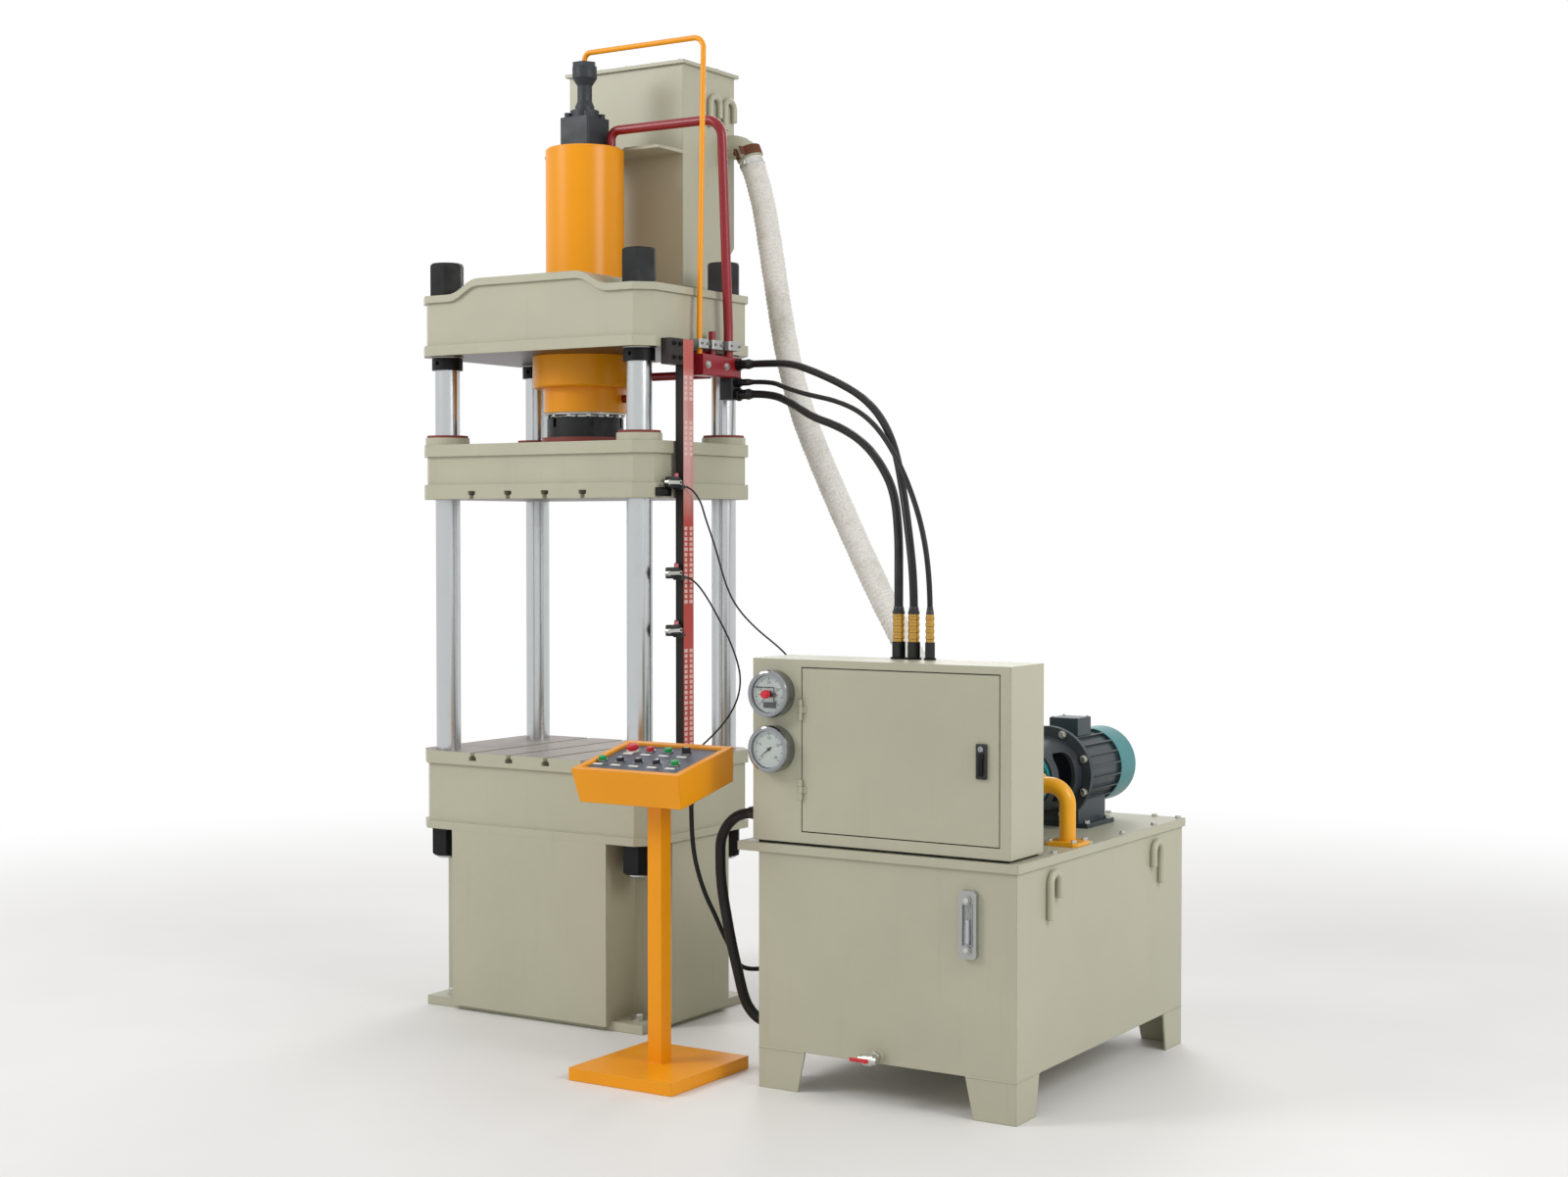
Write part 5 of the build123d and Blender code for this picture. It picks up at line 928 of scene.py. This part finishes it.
class PRESS_OT_fasteners(bpy.types.Operator):
    """Fits the bolts, screws and washers of the press, the pipes and the pump set."""

    bl_idname = "press.fasteners"
    bl_label = "Bolts and washers"

    def execute(self, context):
        across = context.scene.press_sizes.bolt_size / MM
        up, down, right, front = (0, 0, 1), (0, 0, -1), (1, 0, 0), (0, -1, 0)
        # The motor's axis
        axis_x, axis_z = 1.720, 0.889

        @piece("anchor_bolts", "zinc")
        def anchors(bm):
            for sx, sy in corners:
                hex_head(bm, 36, 22, at((sx * 0.391, sy * 0.235, 0.030), turn=0.3))

        @piece("column_washers", "zinc", True)
        def washers(bm):
            for sx, sy in corners:
                band(bm, 42.5, 14, 3, at((sx * 0.406, sy * 0.246, 2.2215)))

        @piece("gland_flange", "steel", True)
        def gland(bm):
            band(bm, 92, 46, 7, at((0, 0, 2.0248)), 64)

        screw_group("gland_screws", "zinc", (
            hex_head, (15, 7.5), [(x, y, 2.0247) for x, y in circle(12, 12, 0.1265)], down, False))
        screw_group("tank_lid_bolts", "zinc", (
            hex_head, (13, 6), [(-0.225 + i * 0.1125, y, 3.2549) for i in range(5) for y in (0.245, 0.545)]
            + [(x, y, 3.2549) for x in (-0.243, 0.243) for y in (0.345, 0.445)], up))
        screw_group("reservoir_lid_bolts", "zinc", (
            hex_head, (16, 8), [(x, y, 0.7189) for x in (1.16, 1.96) for y in (-0.40, -0.16, 0.08, 0.32, 0.515)]
            + [(1.24 + 0.16 * i, 0.517, 0.7189) for i in range(5)], up))
        # Each pipe clamp's Y and X, and half the distance between its screws
        clamps = ((-0.060, 0.538, 19), (0.015, 0.541, 19), (0.092, 0.558, 25))
        screw_group("clamp_screws", "steel", (
            socket_head, (9, 5), [(x - 0.4 * MM, y + side * half * MM * 0.98, 2.245) for y, x, half in clamps
                                  for side in (-1, 1)], right), smooth=True)
        screw_group("rail_screws", "black_steel", (
            socket_head, (15, 6), [(0.5298, y, z) for z in (2.19, 2.235) for y in (-0.225, -0.190)], right), (
            socket_head, (10, 5), [(0.5298, y, 0.859) for y in (-0.165, -0.128)], right), smooth=True)
        screw_group("manifold_plugs", "zinc", (
            hex_head, (across, 9), [(0.5478, y, 2.175) for y in (-0.06, 0.05)], right))
        screw_group("bell_bolts", "zinc", (
            hex_head, (across, 10), [(axis_x + x, 0.060, axis_z + z) for x, z in circle(8, 22.5, 0.131)],
            front), (
            socket_head, (13, 8), [(axis_x + x, -0.1209, axis_z + z) for x, z in circle(4, 45, 0.08)], front))
        screw_group("motor_bolts", "zinc", (
            hex_head, (17, 9), [(axis_x + x, y, 0.7329) for x in (-0.092, 0.092) for y in (0.145, 0.300)],
            up), (
            socket_head, (8, 4), [(axis_x + sx * 0.040, 0.223 + sy * 0.040, 1.0509) for sx, sy in corners], up))
        low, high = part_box("suction_pipe")
        x, y = high.x - 52 * MM, low.y + 52 * MM
        screw_group("suction_flange_bolts", "zinc", (
            hex_head, (15, 8), [(x + sx * 37 * MM, y + sy * 37 * MM, 0.7309) for sx, sy in corners], up))
        return {"FINISHED"}


def on_panel(x, y, lift):
    """A place on the pedestal's button panel, its Z out of the panel; x, y and lift in millimetres."""
    tilt = Matrix.Rotation(math.radians(12), 4, "X")
    return Matrix.Translation((0.792, -0.715, 0.954)) @ tilt @ shift(x, y, lift)


class PRESS_OT_control_panel(bpy.types.Operator):
    """Fits the chrome collars, the blank label plates and the screws of the button panel."""

    bl_idname = "press.control_panel"
    bl_label = "Button panel"

    front_row = (-154, -88, -22, 44, 110)
    rear_row = (-121, -55, 11, 77)
    stop_spot = (-121, 68)
    selector_spot = (77, 68)
    panel_top = -7.0

    def execute(self, context):
        spots = [(x, -42) for x in self.front_row] + [(x, 68) for x in self.rear_row]
        top = self.panel_top

        @piece("button_collars", "chrome", True)
        def collars(bm):
            for spot in spots:
                if spot == self.stop_spot:
                    continue
                # Room for a pressed cap, or for the selector's wider foot
                bore = 14.3 if spot == self.selector_spot else 12.4
                turned_part(bm, [(bore, 0), (15.4, 0), (15.4, 3.4), (14.9, 5.2), (bore + 0.3, 5.2), (bore, 4.8),
                                 (bore, 0)], on_panel(*spot, top + 0.2), 32)

        @piece("label_plates", "white_print")
        def plates(bm):
            for x, y in spots:
                soft_box(bm, (34, 12, 1.0), on_panel(x, y - 27, top + 0.5), 0.4, 1)

        @piece("panel_screws", "zinc", True)
        def screws(bm):
            for sx, sy in corners:
                turned_part(bm, [(0, 0), (4.5, 0), (4.3, 1.6), (2.5, 2.6), (0, 2.8)],
                            on_panel(sx * 162, sy * 116, top), 16)

        for name, x in (("press", -88), ("hold", -22), ("return", 44)):
            @piece("button_%s_inlay" % name, "chrome", True, "button_%s_body" % name)
            def inlay(bm):
                turned_part(bm, [(0, 0), (6.8, 0), (6.4, 0.7), (0, 0.9)], on_panel(x, -42, 10.0), 20)

        @piece("selector_pointer", "white_print", body="selector")
        def pointer(bm):
            soft_box(bm, (2.6, 2.6, 1.0), on_panel(77 + 9, 68, 15.3), 0.3, 1)
            soft_box(bm, (16, 2.4, 0.8), on_panel(77, 68, 15.2), 0.3, 1)

        @piece("stop_collar", "white_print", True)
        def guard(bm):
            turned_part(bm, [(15.1, 0.2), (19.8, 0.2), (19.8, 2.9), (19.2, 3.5), (11.6, 3.5), (11.6, 3.1),
                             (15.1, 3.1), (15.1, 0.2)], on_panel(*self.stop_spot, top), 32)

        return {"FINISHED"}


class PRESS_OT_level_window(bpy.types.Operator):
    """Fits the sight glass, its tube of oil and the bolts of the level gauge."""

    bl_idname = "press.level_window"
    bl_label = "Level gauge"

    def execute(self, context):
        low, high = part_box("level_gauge")
        x = (low.x + high.x) / 2
        face_y = -0.670
        mid = (low.z + high.z) / 2

        @piece("level_back", "alloy")
        def back(bm):
            soft_box(bm, (25.6, 0.8, 107), at((x, face_y + 5.4 * MM, mid)))

        @piece("level_oil", "oil", True)
        def oil(bm):
            turned_part(bm, [(0, 0), (6.5, 0), (6.5, 66), (0, 67)], at((x, face_y + 3 * MM, mid - 52 * MM)), 20)

        @piece("level_pane", "glass", True)
        def pane(bm):
            soft_box(bm, (25, 1.6, 106.5), at((x, face_y + 1.2 * MM, mid)), 0.6)

        @piece("level_rim", "chrome", True)
        def rim(bm):
            middle = at((x, face_y - 1.2 * MM, mid))
            for side in (-1, 1):
                soft_box(bm, (3.4, 2.6, 118), middle @ shift(side * 14.7, 0, 0), 1)
                soft_box(bm, (32.6, 2.6, 3.4), middle @ shift(0, 0, side * 57.3), 1)

        @piece("level_bolts", "zinc")
        def bolts(bm):
            for z in (low.z + 26 * MM, high.z - 26 * MM):
                hex_head(bm, 15, 5, at((x, low.y + 0.2 * MM, z), (0, -1, 0), 0.2), False)

        return {"FINISHED"}


class PRESS_OT_door_lock(bpy.types.Operator):
    """Makes the door's swing-handle lock and its key cylinder, and dark strips of painted shadow in the gaps
    round the door and under the cabinet.
    """

    bl_idname = "press.door_lock"
    bl_label = "Door lock and seal"

    def execute(self, context):
        lock = at((1.862, -0.662, 0.996))

        @piece("door_lock_body", "black_abs", True, "door")
        def body(bm):
            soft_box(bm, (34, 9, 98), lock @ shift(0, 3.6, 0), 3, 3)

        @piece("door_lock_handle", "black_steel", True, "door")
        def handle(bm):
            soft_box(bm, (15, 8, 56), lock @ shift(0, -5, -12), 3, 3)
            soft_box(bm, (19, 6, 17), lock @ shift(0, -3.6, 13), 2.4, 3)

        @piece("door_lock_cylinder", "chrome", True, "door")
        def cylinder(bm):
            turned_part(bm, [(0, 0), (8.5, 0), (8.5, 3), (7, 4.5), (2, 4.5), (1.6, 2.5), (0, 2.5)],
                        lock @ shift(0, -0.8, 34) @ at((0, 0, 0), (0, -1, 0)), 24)

        # Dark strips round the door's edge: painted shadow in the gap.
        @piece("door_gap_shadow", "painted_gap_shadow")
        def seal(bm):
            middle = at((1.597, -0.6475, 0.998))
            for side in (-1, 1):
                soft_box(bm, (637, 2, 2.4), middle @ shift(0, 0, side * 237.5), 0.4, 1)
                soft_box(bm, (2.4, 2, 475), middle @ shift(side * 318.5, 0, 0), 0.4, 1)

        # Dark strips round the cabinet's foot: painted shadow in the gap under it.
        @piece("cabinet_gap_shadow", "painted_gap_shadow")
        def joint(bm):
            middle = at((1.5305, -0.5515, 0.7228))
            for side in (-1, 1):
                soft_box(bm, (815, 2, 6.4), middle @ shift(0, side * 90.5, 0), 0.5, 1)
                soft_box(bm, (2, 181, 6.4), middle @ shift(side * 407.5, 0, 0), 0.5, 1)

        return {"FINISHED"}


class PRESS_OT_drain_valve(bpy.types.Operator):
    """Makes the drain valve with its red handle under the reservoir's front edge."""

    bl_idname = "press.drain_valve"
    bl_label = "Drain valve"

    def execute(self, context):
        x, y, z = 1.533, -0.668, 0.139
        front = (0, -1, 0)

        @piece("drain_plug", "zinc", True)
        def plug(bm):
            hex_head(bm, 32, 12, at((x, y + 0.2 * MM, z), front), False)
            turned_part(bm, [(0, 0), (13, 0), (13, 10), (10, 12), (10, 24), (0, 24)],
                        at((x, y - 11.5 * MM, z), front), 20)

        @piece("drain_valve", "zinc", True)
        def valve(bm):
            turned_part(bm, [(0, -28), (12, -28), (12, -16), (17, -12), (17, 12), (12, 16), (12, 28), (0, 28)],
                        at((x, y - 40 * MM, z), (-1, 0, 0)), 20)

        @piece("drain_lever", "red_cap", True)
        def lever(bm):
            soft_box(bm, (60, 4, 11), at((x - 22 * MM, y - 58 * MM, z)), 1.6)
            turned_part(bm, [(0, 0), (7, 0), (7, 8), (0, 8)], at((x, y - 54 * MM, z), front), 16)

        return {"FINISHED"}


class PRESS_OT_seams(bpy.types.Operator):
    """Lays the weld beads, the ferrule grooves and the clamp on the elbow."""

    bl_idname = "press.seams"
    bl_label = "Welds, grooves and clamp"

    # Each pressure hose's place along X at the cabinet, in metres, and its diameter in millimetres
    hose_ends = ((1.500, 26), (1.550, 24), (1.603, 16))

    def bead(self, bm, start, end, width):
        """A weld bead with its ripples, laid along a straight seam."""
        start, end = Vector(start), Vector(end)
        steps = max(4, int((end - start).length / (4.5 * MM)))
        line = [start.lerp(end, i / steps) for i in range(steps + 1)]
        radii = [width / 2 * (0.86 + 0.14 * (i % 2) + 0.08 * math.sin(i * 1.7)) for i in range(steps + 1)]
        tube(bm, line, radii, 6)

    def execute(self, context):
        width = context.scene.press_sizes.weld_width

        @piece("base_welds", "weld", True)
        def base_welds(bm):
            for sx, sy in corners:
                x, y = sx * 0.326, sy * 0.167
                self.bead(bm, (x, y, 0.031), (x, y, 0.610), width)
                self.bead(bm, (x, y, 0.612), (x, sy * 0.322, 0.612), width)
                self.bead(bm, (x, y, 0.612), (sx * 0.476, y, 0.612), width)

        @piece("tank_welds", "weld", True)
        def tank_welds(bm):
            for x in (-0.245, 0.245):
                self.bead(bm, (x, 0.237, 2.480), (x, 0.403, 2.480), width)
            for left, right, z in ((-0.24, 0.24, 2.480), (-0.24, -0.10, 2.9465), (0.10, 0.24, 2.9465)):
                self.bead(bm, (left, 0.2345, z), (right, 0.2345, z), width)

        @piece("leg_welds", "weld", True)
        def leg_welds(bm):
            for x, along in ((1.131, 0.156), (1.969, -0.156)):
                for y, inward in ((-0.654, 0.142), (0.526, -0.142)):
                    self.bead(bm, (x, y, 0.118), (x + along, y, 0.118), width * 0.8)
                    self.bead(bm, (x, y, 0.118), (x, y + inward, 0.118), width * 0.8)

        @piece("ferrule_crimps", "fittings", True)
        def crimps(bm):
            for x, d in self.hose_ends:
                r = (d + 7) / 2
                for k in range(4):
                    turned_part(bm, [(r, 0), (r + 1.5, 1.5), (r + 1.5, 9), (r, 10.5), (r, 0)],
                                at((x, -0.478, 1.318 + k * 0.0185)), 24)

        @piece("adapter_collars", "black_steel", True)
        def collars(bm):
            for x, d in self.hose_ends:
                r = (d + 12) / 2
                turned_part(bm, [(0, 0), (r * 1.28, 0), (r * 1.28, 5), (r * 1.05, 7), (0, 7)],
                            at((x, -0.478, 1.2588)), 28)
                turned_part(bm, [(0, 0), (r * 1.02, 0), (r * 1.02, 4), (0, 4)], at((x, -0.478, 1.3055)), 28)

        @piece("elbow_clamp", "rust", True)
        def elbow_clamp(bm):
            lean = math.radians(68)
            along = Vector((math.cos(lean), 0, -math.sin(lean)))
            matrix = at(Vector((0.3492, 0.505, 2.940)) - along * 40 * MM, along)
            band(bm, 45.6, 1.6, 34, matrix)
            for x in (-12, 12):
                soft_box(bm, (5, 24, 30), matrix @ shift(x, -60, 17), 1.5)
            hex_head(bm, 13, 8, matrix @ shift(15, -62, 17) @ at((0, 0, 0), (1, 0, 0)))

        return {"FINISHED"}


class PRESS_OT_studio(bpy.types.Operator):
    """Builds the pale floor, the soft lights and the white surround."""

    bl_idname = "press.studio"
    bl_label = "Studio"

    # Name, place, size in metres, power in watts
    lamps = (
        ("key_lamp", (-3.6, -5.2, 5.4), 3.4, 230),
        ("side_lamp", (6.4, -1.0, 4.2), 3.0, 150),
        ("back_lamp", (-1.5, 5.0, 5.0), 3.0, 110),
    )

    def execute(self, context):
        studio = context.scene.press_studio
        self.world(context, studio.world_level)
        target = Vector((0.7, -0.1, 1.4))
        for name, place, size, power in self.lamps:
            data = bpy.data.lights.new(name, "AREA")
            data.shape = "DISK"
            data.size = size
            data.energy = power
            lamp = bpy.data.objects.new(name, data)
            context.scene.collection.objects.link(lamp)
            lamp.location = place
            lamp.rotation_euler = (target - Vector(place)).to_track_quat("-Z", "Y").to_euler()
        bm = bmesh.new()
        bmesh.ops.create_grid(bm, x_segments=2, y_segments=2, size=studio.floor_reach)
        bmesh.ops.translate(bm, vec=(0.7, 0.0, -0.0005), verts=bm.verts[:])
        mesh = bpy.data.meshes.new("floor")
        bm.to_mesh(mesh)
        bm.free()
        mesh.materials.append(self.floor_finish())
        floor = bpy.data.objects.new("floor", mesh)
        context.scene.collection.objects.link(floor)
        context.scene.view_settings.view_transform = "Standard"
        return {"FINISHED"}

    def floor_finish(self):
        """Pale sealed concrete that fades into the white surround away from the object."""
        material, node, shader, place = fresh_material("Pale sealed floor", 0.55)
        here = (place, "Object")
        cloud = node("TexNoise", noise(700, 4.0), here)
        tint = node("Mix", {6: rgba("#DDDCDA"), 7: rgba("#E6E5E3")}, cloud, data_type="RGBA")
        join(shader, {"Base Color": (tint, 2)})
        middle = node("VectorMath", {1: (0.8, 0.0, 0.0)}, (place, "Object"), operation="DISTANCE")
        far = node("MapRange", {"From Min": 2.6, "From Max": 6.5}, (middle, "Value"),
                   interpolation_type="SMOOTHSTEP")
        seen = self.seen_rays(node)
        fade = node("Math", links={0: far, 1: seen}, operation="MULTIPLY")
        white = node("Emission", {"Color": (1, 1, 1, 1), "Strength": 1.0})
        mixed = node("MixShader", links={0: fade, 1: shader, 2: white})
        output = next(n for n in material.node_tree.nodes if n.type == "OUTPUT_MATERIAL")
        join(output, {"Surface": mixed})
        return material

    def seen_rays(self, node):
        """One for rays that show the surround: straight, mirrored or through glass."""
        ray = node("LightPath")
        direct = node("Math", links={0: (ray, "Is Camera Ray"), 1: (ray, "Is Glossy Ray")}, operation="MAXIMUM")
        return node("Math", links={0: direct, 1: (ray, "Is Transmission Ray")}, operation="MAXIMUM")

    def world(self, context, level):
        """Even light of a set level, which looks white where it is seen."""
        world = bpy.data.worlds.new("surround")
        world.use_nodes = True
        world.node_tree.nodes.clear()
        node = partial(add_node, world.node_tree)
        seen = self.seen_rays(node)
        strength = node("MapRange", {"To Min": level, "To Max": 1.0}, seen)
        sky = node("Background", {"Color": (1, 1, 1, 1)}, {"Strength": strength})
        node("OutputWorld", links={"Surface": sky})
        context.scene.world = world


operators = (
    PRESS_OT_camera, PRESS_OT_finishes, PRESS_OT_pressure_lines, PRESS_OT_overflow_hose, PRESS_OT_gauges,
    PRESS_OT_rail_scale, PRESS_OT_fasteners, PRESS_OT_control_panel, PRESS_OT_level_window, PRESS_OT_door_lock,
    PRESS_OT_drain_valve, PRESS_OT_seams, PRESS_OT_studio)
settings = (("press_finish", PressFinish), ("press_sizes", PressSizes), ("press_studio", PressStudio))


class PRESS_PT_dressing(bpy.types.Panel):
    """Lists the colours, the sizes and the steps that dress the press."""

    bl_idname = "PRESS_PT_dressing"
    bl_label = "Press"
    bl_space_type = "VIEW_3D"
    bl_region_type = "UI"
    bl_category = "Press"

    def draw(self, context):
        for name, group in settings:
            column = self.layout.column(align=True)
            for key in group.__annotations__:
                column.prop(getattr(context.scene, name), key)
        for operator in operators:
            self.layout.operator(operator.bl_idname)


def register():
    for name, group in settings:
        bpy.utils.register_class(group)
        setattr(bpy.types.Scene, name, PointerProperty(type=group))
    for operator in operators:
        bpy.utils.register_class(operator)
    bpy.utils.register_class(PRESS_PT_dressing)


def unregister():
    bpy.utils.unregister_class(PRESS_PT_dressing)
    for operator in reversed(operators):
        bpy.utils.unregister_class(operator)
    for name, group in reversed(settings):
        delattr(bpy.types.Scene, name)
        bpy.utils.unregister_class(group)


def main():
    register()
    for operator in operators:
        group, name = operator.bl_idname.split(".")
        getattr(getattr(bpy.ops, group), name)()


if __name__ == "__main__":
    main()
